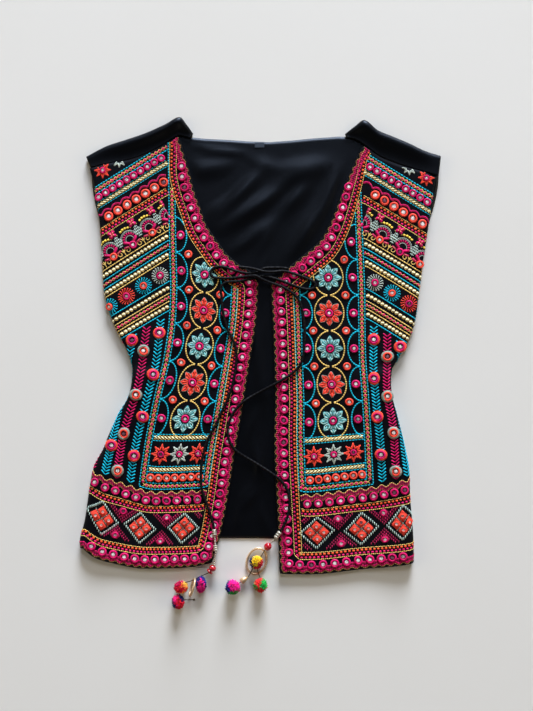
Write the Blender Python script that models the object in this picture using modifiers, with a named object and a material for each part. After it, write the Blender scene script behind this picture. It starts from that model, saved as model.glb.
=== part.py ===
"""An embroidered folk vest lying flat on a table, with its two fronts drawn over the back.

Sizes in the tables are millimetres in the garment's own frame: x to the right of the middle,
y up from the lowest point of the hem, z up from the table. The cloth pieces are cut flat and then
laid: s is the distance along a front from its opening edge, t the height above its hem.
"""

import math

import bmesh
import bpy
from mathutils import Vector

MM = 0.001
MIDDLE = (0.5, 262.6)
SEAM_GAP = 0.3
JOINED_GAP = 0.8
SIDE_SEAM_GAP = 1.4

BACK_WALL = 1.2
FRONT_WALL = 1.8
YOKE_WALL = 1.3
FRONT_TOP = 5.0
HEM_LIFT = 2.2
HEM_LIFT_REACH = 45.0
SWELL_REACH = 52.0
SIDE_ROLL = 11.5
ARMHOLE_ROLL = 8.5
UNDERARM = (222.0, 235.0)
SIDE_TURN_UNDER = 20.0
ARMHOLE_TURN_UNDER = 11.0
BAND_AT = 100.0
HEM_BASE = 5.0
HEM_FADE = 240.0
CORD = 3.0


# Curves through short tables

def through(table, at):
    """Value at `at` of the smooth curve through rows of (at, value)."""
    if at <= table[0][0]:
        return table[0][1]
    if at >= table[-1][0]:
        return table[-1][1]
    k = max(i for i in range(len(table) - 1) if table[i][0] <= at)

    def slope(i):
        a, b = table[max(i - 1, 0)], table[min(i + 1, len(table) - 1)]
        return (b[1] - a[1]) / (b[0] - a[0])

    width = table[k + 1][0] - table[k][0]
    u = (at - table[k][0]) / width
    rise = table[k + 1][1] - table[k][1]
    start, end = slope(k) * width, slope(k + 1) * width
    return (table[k][1] + start * u + (3 * rise - 2 * start - end) * u ** 2
            + (start + end - 2 * rise) * u ** 3)


def ease(u):
    """0 to 1 with flat ends."""
    u = min(1.0, max(0.0, u))
    return u * u * (3 - 2 * u)


def mix(a, b, u):
    return a + (b - a) * u


def ridges(table, x, y):
    """Height of the soft folds at a place: each is a long low ridge, or a trough if its height is negative."""
    total = 0.0
    for fold_x, fold_y, turn, half_length, half_width, height in table:
        c, s = math.cos(math.radians(turn)), math.sin(math.radians(turn))
        along = (x - fold_x) * c + (y - fold_y) * s
        across = (y - fold_y) * c - (x - fold_x) * s
        reach = ease(1 - abs(along) / half_length)
        total += height * reach * math.exp(-(across / half_width) ** 2)
    return total


# The two fronts

class Front:
    """One front: `out` is the way from the opening to the side, the tables are (height t, x)."""

    def __init__(self, name, out, edge, band, side, neck, rise, folds, seam_height, seam_bow):
        self.name, self.out = name, out
        self.edge, self.band, self.side = edge, band, side
        self.neck, self.rise, self.folds = neck, rise, folds
        self.seam_height, self.seam_bow = seam_height, seam_bow

    def roll(self, t):
        """Height of the rounded side over the table, its lower side and the turned-under width."""
        share = ease((t - UNDERARM[0]) / (UNDERARM[1] - UNDERARM[0]))
        low = share * (BACK_WALL + SEAM_GAP)
        return mix(SIDE_ROLL, ARMHOLE_ROLL, share), low, mix(SIDE_TURN_UNDER, ARMHOLE_TURN_UNDER, share)

    def radius(self, t):
        high, low, _ = self.roll(t)
        return (high - low) / 2

    def flat_end(self, t):
        """The s at which the cloth starts to turn over the side."""
        side, band = through(self.side, t), through(self.band, t)
        return BAND_AT + self.out * (side - band) - self.radius(t)

    def cut(self, t):
        """The s at which the cloth starts: the front edge, then the neck curve."""
        return max(0.0, through(self.neck, t))

    def place(self, s, t):
        """Plan position of a point of the flat part, or of its straight continuation."""
        edge, band = through(self.edge, t), through(self.band, t)
        x = mix(edge, band, s / BAND_AT) if s < BAND_AT else band + self.out * (s - BAND_AT)
        y = HEM_BASE + t + through(self.rise, s) * max(0.0, 1 - t / HEM_FADE)
        return x, y

    def top(self, s, t):
        """Height of the outer face where the cloth lies flat."""
        x, y = self.place(s, t)
        swell = ease(1 - (self.flat_end(t) - s) / SWELL_REACH)
        lift = HEM_LIFT * ease(1 - t / HEM_LIFT_REACH)
        low = max(3.6, FRONT_TOP + lift + ridges(self.folds, x, y))
        return mix(low, self.roll(t)[0], swell)

    def point(self, s, t):
        """The outer face at s, t: flat, then round the side, then under."""
        end = self.flat_end(t)
        if s <= end:
            return (*self.place(s, t), self.top(s, t))
        high, low, _ = self.roll(t)
        r = self.radius(t)
        edge_x = self.place(end, t)[0]
        y = self.place(s, t)[1]
        if s <= end + math.pi * r:
            angle = (s - end) / r
            return edge_x + self.out * r * math.sin(angle), y, (high + low) / 2 + r * math.cos(angle)
        return edge_x - self.out * (s - end - math.pi * r), y, low


LEFT = Front(
    "front_left", -1,
    edge=[(-5, -57), (8, -54), (40, -44.6), (80, -37), (120, -31), (160, -24.3), (200, -18), (240, -12),
          (280, -5.6), (315, -2.6), (345, -2.3), (520, -2.3)],
    band=[(0, -147), (40, -142), (80, -137.6), (120, -132.6), (160, -126), (200, -117.5), (240, -108),
          (280, -102), (320, -99.8), (360, -100.6), (400, -101.4), (440, -102), (520, -103)],
    side=[(0, -206.5), (10, -207.7), (35, -202), (60, -198.6), (85, -195.2), (105, -191), (125, -182),
          (150, -173.5), (175, -163), (195, -152.5), (215, -148), (235, -147.7), (255, -155.2),
          (275, -165.5), (295, -173.5), (315, -179), (335, -181), (375, -183), (410, -186.3),
          (440, -190.8), (462, -196.8), (480, -200.6)],
    neck=[(334, -3), (337, 3), (343, 12), (350, 23.3), (362, 37), (376, 47.5), (394, 59.6), (413, 66.5),
          (438, 75), (455, 79), (475, 85), (498, 92)],
    rise=[(0, 8), (27, 3), (80, 1.3), (100, 2.6), (121, 7.3), (139, 12.6), (148, 18), (156, 25)],
    folds=[(-150, 205, 20, 60, 9, -1.3), (-110, 262, -12, 60, 10, 1.2), (-66, 170, 68, 80, 12, 1.3),
           (-168, 100, 72, 60, 10, 1.0), (-95, 60, 12, 70, 12, 1.2), (-136, 330, 60, 70, 14, 1.1),
           (-45, 262, 80, 60, 9, -1.1), (-84, 400, 74, 60, 9, 1.0)],
    seam_height=461.0,
    seam_bow=[(0, 0), (0.168, 0.265), (0.368, 0.54), (0.58, 0.74), (0.81, 0.857), (1, 1)],
)

RIGHT = Front(
    "front_right", 1,
    edge=[(-5, 22.7), (35, 21.3), (80, 18.8), (120, 16.6), (160, 15.9), (195, 17), (240, 16), (280, 14.6),
          (312, 12.8), (345, 12), (400, 9), (440, 7.6), (520, 6)],
    band=[(0, 131.5), (40, 129.6), (80, 127.2), (120, 125), (160, 123), (200, 120.4), (240, 117.6),
          (280, 116.8), (320, 116.4), (360, 114.8), (400, 113.2), (440, 111.8), (520, 109)],
    side=[(0, 175.4), (8, 176.3), (35, 175.5), (75, 172.4), (110, 171), (135, 166.5), (155, 162),
          (178, 156.5), (198, 151.6), (214, 150.2), (230, 151.6), (242, 158.5), (256, 166.5),
          (275, 175), (295, 179.6), (320, 182.5), (355, 187.3), (400, 194), (432, 198.4), (451, 202.3),
          (475, 207.5)],
    neck=[(329, -3), (333, 4), (340, 12.5), (347, 20.5), (361, 37.7), (376, 55), (396, 67.5), (418, 77),
          (438, 85), (457, 93), (477, 102.6), (487, 109.4)],
    rise=[(0, -4.8), (42, -4.8), (84, 0.5), (111, 3.2), (137, 6.5), (148, 10), (156, 17)],
    folds=[(140, 214, -24, 60, 9, -1.3), (96, 268, 14, 60, 10, 1.2), (60, 150, 96, 90, 12, 1.3),
           (150, 110, 100, 60, 10, 1.0), (90, 58, -8, 70, 12, 1.2), (140, 320, 112, 70, 14, 1.1),
           (38, 250, 92, 60, 9, -1.1), (96, 396, 112, 60, 9, 1.0)],
    seam_height=451.0,
    seam_bow=[(0, 0), (0.22, 0.344), (0.435, 0.55), (0.65, 0.714), (0.864, 0.85), (1, 1)],
)
FRONTS = (LEFT, RIGHT)

ROWS_BELOW_NECK = 21
ROWS_AT_NECK = 11
TOP_COLUMNS = 12
ROLL_COLUMNS = 5
UNDER_COLUMNS = 1


SLANT_FROM = 290.0


def front_rows(front):
    """(inner t, outer t, bow) of each row: level up to the underarm, then slanting to the shoulder seam."""
    corner, seam = front.neck[0][0], front.neck[-1][0]
    inner = [corner * k / ROWS_BELOW_NECK for k in range(ROWS_BELOW_NECK + 1)]
    inner += [mix(corner, seam, (k / ROWS_AT_NECK) ** 1.35) for k in range(1, ROWS_AT_NECK + 1)]
    share = (front.seam_height - SLANT_FROM) / (seam - SLANT_FROM)
    return [(t, t, 0.0) if t < SLANT_FROM else
            (t, SLANT_FROM + (t - SLANT_FROM) * share, (t - SLANT_FROM) / (seam - SLANT_FROM)) for t in inner]


def front_grid(front):
    grid = []
    for inner, outer, bow in front_rows(front):
        end, r, under = front.flat_end(outer), front.radius(outer), front.roll(outer)[2]
        row = []
        for k in range(TOP_COLUMNS):
            u = k / TOP_COLUMNS
            height = mix(inner, outer, mix(u, through(front.seam_bow, u), bow))
            row.append(front.point(mix(front.cut(inner), end, u), height))
        turn = math.pi * r
        stations = [turn * k / ROLL_COLUMNS for k in range(ROLL_COLUMNS + 1)]
        stations += [turn + under * k / UNDER_COLUMNS for k in range(1, UNDER_COLUMNS + 1)]
        row += [front.point(end + s, outer) for s in stations]
        grid.append(row if front.out > 0 else row[::-1])
    return grid


# The back

BACK_HEM = [(-200, 31), (-150, 35), (-90, 39), (-20, 40), (60, 38), (120, 34), (175, 27)]
BACK_TOP = [(-194.5, 464.8), (-173.5, 476), (-151.7, 483.3), (-131, 490.6), (-110.7, 500.5), (-94.4, 509.2),
            (-86.6, 509), (-78.5, 503), (-64, 501.5), (-39, 500.2), (-14, 498.5), (10, 497.6), (36, 499.4), (62, 502),
            (90, 504), (99, 503.6), (108.3, 507.6), (119.8, 506), (136, 494), (153.5, 486.5), (171, 479),
            (188.7, 470), (205.7, 464.6)]
BACK_STEP = (252.0, 270.0)
ARMHOLE_INSET = 3.0
BACK_FOLDS = [
    (-25, 437, 46, 62, 9, 3.4), (38, 431, 47, 44, 8, 2.6), (-41, 486, -6, 34, 4, 1.3), (40, 470, 12, 44, 7, 1.2),
    (-4, 392, 40, 40, 8, 1.8), (-3, 250, 94, 76, 5, 1.4), (-14, 84, 50, 24, 5, 1.4), (-2, 120, 82, 50, 5, 1.2),
]
BACK_ROWS = 23


def back_edge(front, y):
    """x of the back's side: the side seam below the underarm, the armhole edge above it."""
    t = y - HEM_BASE
    seam = through(front.side, t) - front.out * (SIDE_ROLL / 2 + SIDE_TURN_UNDER + SIDE_SEAM_GAP)
    armhole = through(front.side, t) - front.out * ARMHOLE_INSET
    return mix(seam, armhole, ease((y - BACK_STEP[0]) / (BACK_STEP[1] - BACK_STEP[0])))


def back_height(x, y):
    """Height of the back's underside over the table."""
    return max(0.0, ridges(BACK_FOLDS, x, y))


def back_grid():
    """Columns stand at the stations of the top edge, so that its corners at the yokes stay sharp."""
    first, last = BACK_TOP[0][0], BACK_TOP[-1][0]
    grid = []
    for j in range(BACK_ROWS + 1):
        v = j / BACK_ROWS
        near_top = ease((v - 0.8) / 0.2)
        row = []
        for station, top in BACK_TOP:
            u = (station - first) / (last - first)
            y = mix(through(BACK_HEM, mix(-180, 150, u)), top - JOINED_GAP, v)
            x = mix(mix(back_edge(LEFT, y), back_edge(RIGHT, y), u), station, near_top)
            row.append((x, y, back_height(x, y)))
        grid.append(row[::-1])
    return grid


# The shoulder yokes, which fold over the shoulder line

YOKE_LEFT = [  # share, seam x, seam y, fold x, fold y, roll, turned under
    (0.0, -195, 466.3, -200.6, 479.6, 8.0, 14.0), (0.17, -172, 471.3, -178, 491.4, 8.5, 16.0),
    (0.33, -150, 475.6, -155, 499.0, 9.0, 16.0), (0.5, -130, 483.0, -133, 506.5, 9.5, 16.0),
    (0.67, -111, 493.2, -110, 516.5, 11.0, 16.0), (0.82, -95.5, 503.2, -93, 525.4, 13.0, 16.0),
    (0.91, -88, 502.6, -85, 520.0, 10.5, 10.5), (1.0, -81, 500.8, -77.5, 509.5, 6.5, 6.0),
]
YOKE_RIGHT = [
    (0.0, 204.6, 456.0, 207.5, 480.5, 8.0, 15.0), (0.17, 188, 461.4, 190, 486.0, 8.5, 16.0),
    (0.33, 171, 466.3, 171, 495.0, 9.0, 16.0), (0.5, 154, 472.2, 153, 502.5, 9.5, 16.0),
    (0.67, 137, 479.6, 135, 510.0, 11.0, 16.0), (0.82, 119.5, 492.4, 119.5, 522.0, 13.0, 16.0),
    (0.91, 108.5, 499.5, 108.5, 518.0, 10.5, 10.0), (1.0, 99.5, 501.4, 97.5, 509.0, 6.5, 5.5),
]
YOKE_COLUMNS = 12
YOKE_TOP_ROWS = 4
YOKE_ROLL_ROWS = 4
YOKE_SEAM_OUTER = 7.6
YOKE_SEAM_INNER = 4.8


def yoke_grid(front, table):
    """Rows from the armhole to the neck, each running from the front seam over the fold and under."""
    def column(n):
        return [(row[0], row[n]) for row in table]

    grid = []
    for i in range(YOKE_COLUMNS + 1):
        at = i / YOKE_COLUMNS
        seam = Vector((through(column(1), at), through(column(2), at)))
        fold = Vector((through(column(3), at), through(column(4), at)))
        high, under = through(column(5), at), through(column(6), at)
        r = high / 2
        up = (fold - seam).normalized()
        seam += up * JOINED_GAP
        ridge = fold - up * r
        seam_z = mix(YOKE_SEAM_OUTER, YOKE_SEAM_INNER, ease(at / 0.35))
        row = []
        for k in range(YOKE_TOP_ROWS):
            u = k / YOKE_TOP_ROWS
            row.append((*seam.lerp(ridge, u), mix(seam_z, high, ease(u * 0.5 + 0.5 * u * u))))
        for k in range(YOKE_ROLL_ROWS + 1):
            angle = math.pi * k / YOKE_ROLL_ROWS
            row.append((*(ridge + up * r * math.sin(angle)), r + r * math.cos(angle)))
        row.append((*(fold - up * under), 0.0))
        grid.append(row if front.out > 0 else row[::-1])
    return grid


# What lies on top: the height under a cord

def surface(x, y):
    """Height of the cloth's top at a place inside the garment."""
    for front in FRONTS:
        t = y - HEM_BASE
        for _ in range(3):
            edge, band = through(front.edge, t), through(front.band, t)
            s = BAND_AT * (x - edge) / (band - edge)
            t = y - HEM_BASE - through(front.rise, max(s, 0.0)) * max(0.0, 1 - t / HEM_FADE)
        if t > -1 and s >= front.cut(t) - 1:
            return front.top(max(s, 0.0), t)
    if y > through(BACK_HEM, x) - 1:
        return back_height(x, y) + BACK_WALL
    return 0.0


KNOT = (-9.0, 17.0, 331.0)
TIE_LEFT_ROUTE = [  # x, y, height over what lies below, from the left front's neck corner
    (-25.0, 352.6, 0), (-14.0, 351.5, 0.6), (-5.0, 349.5, 3.2), (0.0, 348.0, 3.8),
    (5.0, 346.9, 3.2), (15.0, 346.8, 0.4),
    (27.0, 347.8, 0), (40.0, 344.4, 0), (52.8, 339.6, 0), (61.6, 335.0, 0), (63.6, 331.4, 0), (60.4, 327.8, 0),
    (52.6, 327.0, 0), (40.2, 330.6, 0), (26.0, 336.0, 0), (12.4, 340.4, 0), (2.0, 341.8, 0),
    (-9.0, 339.4, 0), (-26.0, 336.0, 0), (-39.6, 335.0, 0), (-45.4, 329.0, 0), (-44.6, 318.6, 0),
    (-43.0, 300.0, 0), (-36.6, 278.0, 0), (-29.4, 264.0, 0), (-27.4, 248.0, 0), (-29.6, 228.0, 0),
    (-35.6, 206.0, 0), (-43.4, 188.4, 0), (-50.8, 172.4, 0), (-59.6, 156.2, 0), (-65.0, 140.4, 0),
    (-68.0, 121.0, 0), (-67.6, 98.6, 0), (-61.8, 80.6, 0), (-57.0, 66.0, 0),
    (-54.2, 57.0, 0.8), (-53.3, 51.7, 1.4),
]
TIE_RIGHT_ROUTE = [
    (31.6, 350.6, 0), (22.0, 351.8, 0), (14.0, 351.6, 0), (4.0, 350.9, 0), (0.0, 348.4, 0), (-5.0, 345.9, 0),
    (-16.0, 345.4, 0), (-30.0, 348.6, 0), (-42.0, 352.6, 0), (-52.4, 352.2, 0), (-57.4, 346.6, 0),
    (-55.0, 341.2, 0), (-46.4, 339.8, 0), (-33.0, 339.8, 0), (-18.0, 341.4, 1.0), (-6.0, 342.2, 3.8),
    (-2.0, 340.6, 4.0), (2.0, 338.2, 3.6), (12.0, 334.2, 1.0), (25.0, 330.0, 0), (36.0, 323.2, 0),
    (43.0, 316.4, 0),
    (47.0, 307.0, 0), (50.0, 291.0, 0), (51.0, 275.4, 0), (50.0, 258.0, 0), (47.0, 242.6, 0),
    (39.6, 233.0, 0), (26.4, 223.6, 0), (0.0, 209.2, 0), (-18.6, 198.4, 0), (-28.6, 188.4, 0),
    (-35.0, 177.0, 0), (-37.6, 164.0, 0), (-35.0, 151.0, 0), (-26.4, 140.0, 0), (-10.0, 129.6, 0),
    (12.0, 116.0, 0), (25.4, 105.0, 0), (32.4, 92.4, 0), (33.4, 78.0, 0), (30.6, 64.0, 0),
    (26.6, 55.2, 0.8), (23.2, 49.3, 1.6),
]
TIE_CLEARANCE = 0.35
TIE_STIFFNESS_REACH = 5.5


def smooth_path(points):
    """The smooth curve through the route, with one point added between each two of its points."""
    stations = [0.0]
    for a, b in zip(points, points[1:]):
        stations.append(stations[-1] + math.dist(a, b))
    axes = [[(at, p[k]) for at, p in zip(stations, points)] for k in range(len(points[0]))]
    finer = [stations[0]]
    for a, b in zip(stations, stations[1:]):
        finer += [(a + b) / 2, b]
    return [tuple(through(axis, at) for axis in axes) for at in finer]


def cord_bed(x, y, reach):
    """Highest cloth within reach of a cord's middle; the knot bridges the gap between the fronts."""
    around = [surface(x + reach * math.cos(a), y + reach * math.sin(a)) for a in
              [k * math.pi / 6 for k in range(12)]]
    bridged = KNOT[0] < x < KNOT[1] and y > KNOT[2]
    return max(surface(x, y), FRONT_TOP + 0.2 if bridged else 0.0, *around)


def tie_path(route):
    points = smooth_path(route)
    r = CORD / 2
    beds = [cord_bed(x, y, TIE_STIFFNESS_REACH) for x, y, _ in points]
    last = len(points) - 1
    path = []
    for i, (x, y, over) in enumerate(points):
        near = [beds[min(max(i + k, 0), last)] for k in (-1, 0, 1)]
        bed = max(beds[i], sum(near) / 3)
        path.append((x, y, bed + r + TIE_CLEARANCE + over))
    return path


# Beads, rings and pompoms at the ends of the ties

CAP_RIBS = 3
SEED_LENGTH = 2.3
POMPOM_LIFT = 0.5
RING_TUBE = 1.3
RINGS = {  # x, y, z, half length, half width, turn, tip
    "ring_left": (-78.2, -15.5, 8.7, 10.0, 7.2, 0, 78),
    "ring_right": (-4.4, 13.7, 2.2, 15.0, 11.0, 20, 0),
}
BEADS = [  # name, shape, radius, finish, where it starts, where it ends
    ("silver_cap_left", "cap", 2.6, "silver", (-53.2, 51.2, 8.4), (-52.4, 44.2, 8.6)),
    ("bead_link_left", "seeds", 1.15, "silver", (-52.4, 43.9, 8.6), (-51.8, 33.7, 9.2)),
    ("silver_cap_left_low", "cap", 2.6, "silver", (-51.8, 33.4, 9.2), (-51.0, 26.4, 9.8)),
    ("bead_string_left", "seeds", 1.15, "silver", (-51.1, 25.9, 9.8), (-53.2, 9.4, 9.0)),
    ("red_bead_left", "bead", 4.1, "red", (-53.3, 9.0, 8.8), (-56.4, 3.6, 5.2)),
    ("red_disc_left", "disc", 3.9, "red", (-57.1, 3.0, 5.0), (-59.2, 0.9, 4.8)),
    ("thread_left", "thread", 0.45, "black", (-59.6, 0.6, 4.8), (-69.1, -3.3, 7.7)),
    ("thread_ring", "thread", 0.45, "black", (-71.5, -5.5, 7.9), (-87.6, -10.4, 9.5)),
    ("eye_pin", "pin", 1.2, "gold", (-90.1, -30.0, 6.7), (-75.2, -30.9, 1.7)),
    ("silver_cap_right", "cap", 2.9, "silver", (22.6, 48.3, 8.6), (17.4, 41.1, 8.1)),
    ("bead_string_right", "seeds", 1.15, "silver", (17.2, 40.8, 8.0), (11.7, 34.9, 5.6)),
    ("red_bead_right", "bead", 4.4, "red", (11.5, 34.6, 5.5), (5.4, 26.9, 4.8)),
    ("thread_right", "thread", 0.45, "black", (5.1, 26.5, 4.7), (0.7, 19.8, 6.2)),
    ("thread_bell", "thread", 0.45, "black", (-7.5, 8.1, 4.6), (-14.0, -3.7, 4.4)),
    ("bell_right", "bell", 3.6, "gold", (-14.2, -4.0, 4.3), (-22.6, -9.9, 4.6)),
    ("thread_pink", "thread", 0.45, "black", (-22.9, -10.1, 4.6), (-28.2, -13.8, 4.8)),
    ("thread_green", "thread", 0.45, "black", (-3.8, 7.6, 4.6), (0.1, -6.1, 4.7)),
]
PROFILES = {  # share of the length, share of the radius
    "bead": [(0.0, 0.0), (0.06, 0.42), (0.2, 0.8), (0.5, 1.0), (0.8, 0.8), (0.94, 0.42), (1.0, 0.0)],
    "disc": [(0.0, 0.0), (0.06, 0.7), (0.3, 1.0), (0.7, 1.0), (0.94, 0.7), (1.0, 0.0)],
    "thread": [(0.0, 0.0), (0.0, 1.0), (1.0, 1.0), (1.0, 0.0)],
    "pin": [(0.0, 0.0), (0.0, 0.42), (0.8, 0.42), (0.83, 0.8), (0.9, 1.0), (0.97, 0.8), (1.0, 0.0)],
    "bell": [(0.0, 0.0), (0.02, 0.26), (0.2, 0.36), (0.28, 0.7), (0.6, 0.84), (0.86, 1.0), (0.96, 0.9), (1.0, 0.0)],
}
POMPOM_LOCKS = 40
POMPOMS = {  # x, y, half width, half length
    "pompom_pink_left": (-68.4, -12.2, 6.8, 10.6),
    "pompom_coral_left": (-90.8, -15.0, 9.0, 8.0),
    "pompom_red_left": (-94.2, -32.0, 8.0, 9.4),
    "pompom_navy_right": (-4.4, 13.7, 8.4, 8.4),
    "pompom_pink_right": (-31.6, -15.4, 9.4, 9.4),
    "pompom_green_right": (-0.2, -12.6, 8.8, 8.8),
}


# Making the objects

def material(name, colour, roughness=0.8, metallic=0.0):
    made = bpy.data.materials.new(name)
    made.use_nodes = True
    shader = made.node_tree.nodes["Principled BSDF"]
    shader.inputs["Base Color"].default_value = (*colour, 1)
    shader.inputs["Roughness"].default_value = roughness
    shader.inputs["Metallic"].default_value = metallic
    return made


def add(name, data, finish):
    obj = bpy.data.objects.new(name, data)
    parts.objects.link(obj)
    obj.parent = vest
    obj.data.materials.append(finish)
    return obj


def cloth(name, grid, wall, finish):
    """A wall of cloth: the grid is its outer face, and Solidify gives it its thickness inwards."""
    bm = bmesh.new()
    verts = [[bm.verts.new([c * MM for c in p]) for p in row] for row in grid]
    for low, high in zip(verts, verts[1:]):
        for k in range(len(low) - 1):
            bm.faces.new((low[k], low[k + 1], high[k + 1], high[k]))
    mesh = bpy.data.meshes.new(name)
    bm.to_mesh(mesh)
    bm.free()
    mesh.shade_smooth()
    obj = add(name, mesh, finish)
    thick = obj.modifiers.new("wall", "SOLIDIFY")
    thick.thickness = wall * MM
    thick.offset = -1
    thick.use_even_offset = True
    return obj


def tube(name, points, diameter, finish, cyclic=False, resolution=2):
    curve = bpy.data.curves.new(name, "CURVE")
    curve.dimensions = "3D"
    curve.bevel_depth = diameter / 2 * MM
    curve.bevel_resolution = resolution
    curve.use_fill_caps = True
    line = curve.splines.new("POLY")
    line.points.add(len(points) - 1)
    for spot, p in zip(line.points, points):
        spot.co = (*[c * MM for c in p], 1)
    line.use_cyclic_u = cyclic
    return add(name, curve, finish)


def turned(name, shape, radius, finish, start, end):
    """A bead or thread: its profile turned about the line from start to end."""
    start, end = Vector(start), Vector(end)
    length = (end - start).length
    if shape == "seeds":
        count = round(length / SEED_LENGTH)
        profile = [(0.0, 0.0), (0.0, 0.4)]
        profile += [spot for k in range(count) for spot in (((k + 0.5) / count, 1.0), ((k + 1) / count, 0.4))]
        profile.append((1.0, 0.0))
    elif shape == "cap":
        profile = [(0.0, 0.0), (0.0, 0.72)]
        profile += [spot for k in range(CAP_RIBS) for spot in
                    (((k + 0.5) / CAP_RIBS, 1.0), ((k + 1) / CAP_RIBS, 0.72))]
        profile.append((1.0, 0.0))
    else:
        profile = PROFILES[shape]
    bm = bmesh.new()
    spots = [bm.verts.new((share * radius * MM, 0, along * length * MM)) for along, share in profile]
    for a, b in zip(spots, spots[1:]):
        bm.edges.new((a, b))
    mesh = bpy.data.meshes.new(name)
    bm.to_mesh(mesh)
    bm.free()
    obj = add(name, mesh, finish)
    screw = obj.modifiers.new("turned", "SCREW")
    screw.steps = screw.render_steps = 8 if radius < 2 else 12
    screw.use_merge_vertices = True
    screw.merge_threshold = 0.00001
    screw.use_normal_flip = True
    obj.rotation_euler = (end - start).to_track_quat("Z", "Y").to_euler()
    obj.location = start * MM
    return obj


def oval(x, y, z, half_length, half_width, turn, tip, count=24):
    """Points round an oval ring, turned in plan and tipped about its long axis."""
    long_way = Vector((math.sin(math.radians(turn)), math.cos(math.radians(turn)), 0))
    across = Vector((long_way.y, -long_way.x, 0)) * math.cos(math.radians(tip))
    across.z = math.sin(math.radians(tip))
    angles = [2 * math.pi * k / count for k in range(count)]
    return [Vector((x, y, z)) + long_way * (half_length * math.cos(a)) + across * (half_width * math.sin(a))
            for a in angles]


def pompom(name, x, y, half_width, half_length, finish):
    """A yarn ball: three-sided locks that stand on a small core."""
    half_height = min(half_width, half_length)
    bm = bmesh.new()
    bmesh.ops.create_icosphere(bm, subdivisions=2, radius=0.6)
    faces = sorted(bm.faces, key=lambda face: (round(face.calc_center_median().z, 4), face.index))
    grown = bmesh.ops.extrude_discrete_faces(bm, faces=faces[::2][:POMPOM_LOCKS])["faces"]
    for face in grown:
        middle = face.calc_center_median()
        tip = middle.normalized() * 0.98
        for spot in face.verts:
            spot.co = tip + (spot.co - middle) * 0.55
    bmesh.ops.scale(bm, vec=(half_width * MM, half_length * MM, half_height * MM), verts=bm.verts)
    bmesh.ops.recalc_face_normals(bm, faces=bm.faces)
    mesh = bpy.data.meshes.new(name)
    bm.to_mesh(mesh)
    bm.free()
    obj = add(name, mesh, finish)
    obj.location = Vector((x, y, half_height + POMPOM_LIFT)) * MM
    return obj


def label(finish):
    """The small woven size tab that lies on the inside of the back neck."""
    bpy.ops.mesh.primitive_cube_add(size=1)
    tab = bpy.context.active_object
    tab.name = "size_label"
    tab.scale = (11 * MM, 6 * MM, 0.5 * MM)
    bpy.ops.object.transform_apply(location=False, rotation=False, scale=True)
    for holder in list(tab.users_collection):
        holder.objects.unlink(tab)
    parts.objects.link(tab)
    tab.parent = vest
    tab.location = (-1 * MM, 493.4 * MM, (back_height(-1, 493.4) + BACK_WALL + SEAM_GAP + 0.25) * MM)
    tab.data.materials.append(finish)


def build():
    finishes = {
        "black": material("black_cotton", (0.012, 0.013, 0.018), 0.85),
        "stitched": material("embroidered_cotton", (0.25, 0.03, 0.09), 0.75),
        "grey": material("label_grey", (0.08, 0.09, 0.11), 0.7),
        "silver": material("silver", (0.75, 0.74, 0.7), 0.3, 1.0),
        "gold": material("pale_gold", (0.7, 0.5, 0.28), 0.35, 1.0),
        "red": material("red_glass", (0.45, 0.01, 0.04), 0.15),
        "yarn": material("pink_yarn", (0.85, 0.03, 0.3), 0.95),
    }
    cloth("back", back_grid(), BACK_WALL, finishes["black"])
    for front, table, side in ((LEFT, YOKE_LEFT, "left"), (RIGHT, YOKE_RIGHT, "right")):
        cloth(front.name, front_grid(front), FRONT_WALL, finishes["stitched"])
        cloth(f"yoke_{side}", yoke_grid(front, table), YOKE_WALL, finishes["black"])
    label(finishes["grey"])
    tube("tie_left", tie_path(TIE_LEFT_ROUTE), CORD, finishes["black"])
    tube("tie_right", tie_path(TIE_RIGHT_ROUTE), CORD, finishes["black"])
    for name, shape, radius, finish, start, end in BEADS:
        turned(name, shape, radius, finishes[finish], start, end)
    for name, row in RINGS.items():
        tube(name, oval(*row), 2 * RING_TUBE, finishes["gold"], cyclic=True)
    for name, row in POMPOMS.items():
        pompom(name, *row, finishes["yarn"])


bpy.ops.object.select_all(action="DESELECT")
for old in list(bpy.data.objects):
    bpy.data.objects.remove(old)
parts = bpy.data.collections.new("embroidered_vest")
bpy.context.scene.collection.children.link(parts)
vest = bpy.data.objects.new("vest", None)
vest.location = (-MIDDLE[0] * MM, -MIDDLE[1] * MM, 0)
parts.objects.link(vest)
build()
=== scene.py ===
# %% [markdown]
# # An embroidered vest, laid flat
# A short folk waistcoat of black cotton lies on a pale table. Its two fronts are covered in
# coloured thread and small mirrors, a plain back shows between them, and two cords end in
# beads and pompoms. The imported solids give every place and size. This script dresses them:
# thin cloth on the same curves, one thread at a time on the cloth, and yarn on the pompoms.

# %% Load the frame
import math

import bmesh
import bpy
import numpy as np
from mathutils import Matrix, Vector


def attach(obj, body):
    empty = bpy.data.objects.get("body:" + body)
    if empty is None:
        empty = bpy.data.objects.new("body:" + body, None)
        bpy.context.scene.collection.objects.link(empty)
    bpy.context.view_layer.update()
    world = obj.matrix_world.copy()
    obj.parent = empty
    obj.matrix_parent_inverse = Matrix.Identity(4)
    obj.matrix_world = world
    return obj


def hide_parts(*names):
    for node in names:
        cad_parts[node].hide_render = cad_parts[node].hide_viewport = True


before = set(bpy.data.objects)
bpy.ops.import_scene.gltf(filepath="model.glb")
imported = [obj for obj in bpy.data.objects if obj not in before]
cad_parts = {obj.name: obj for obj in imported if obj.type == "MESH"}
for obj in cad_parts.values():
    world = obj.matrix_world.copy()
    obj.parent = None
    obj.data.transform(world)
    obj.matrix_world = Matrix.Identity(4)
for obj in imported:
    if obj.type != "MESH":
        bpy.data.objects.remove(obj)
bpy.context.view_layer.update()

MM = 0.001
MIDDLE = np.array([0.5, 262.6, 0.0])  # where the frame starts, in the cutter's own millimetres from the hem

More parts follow.
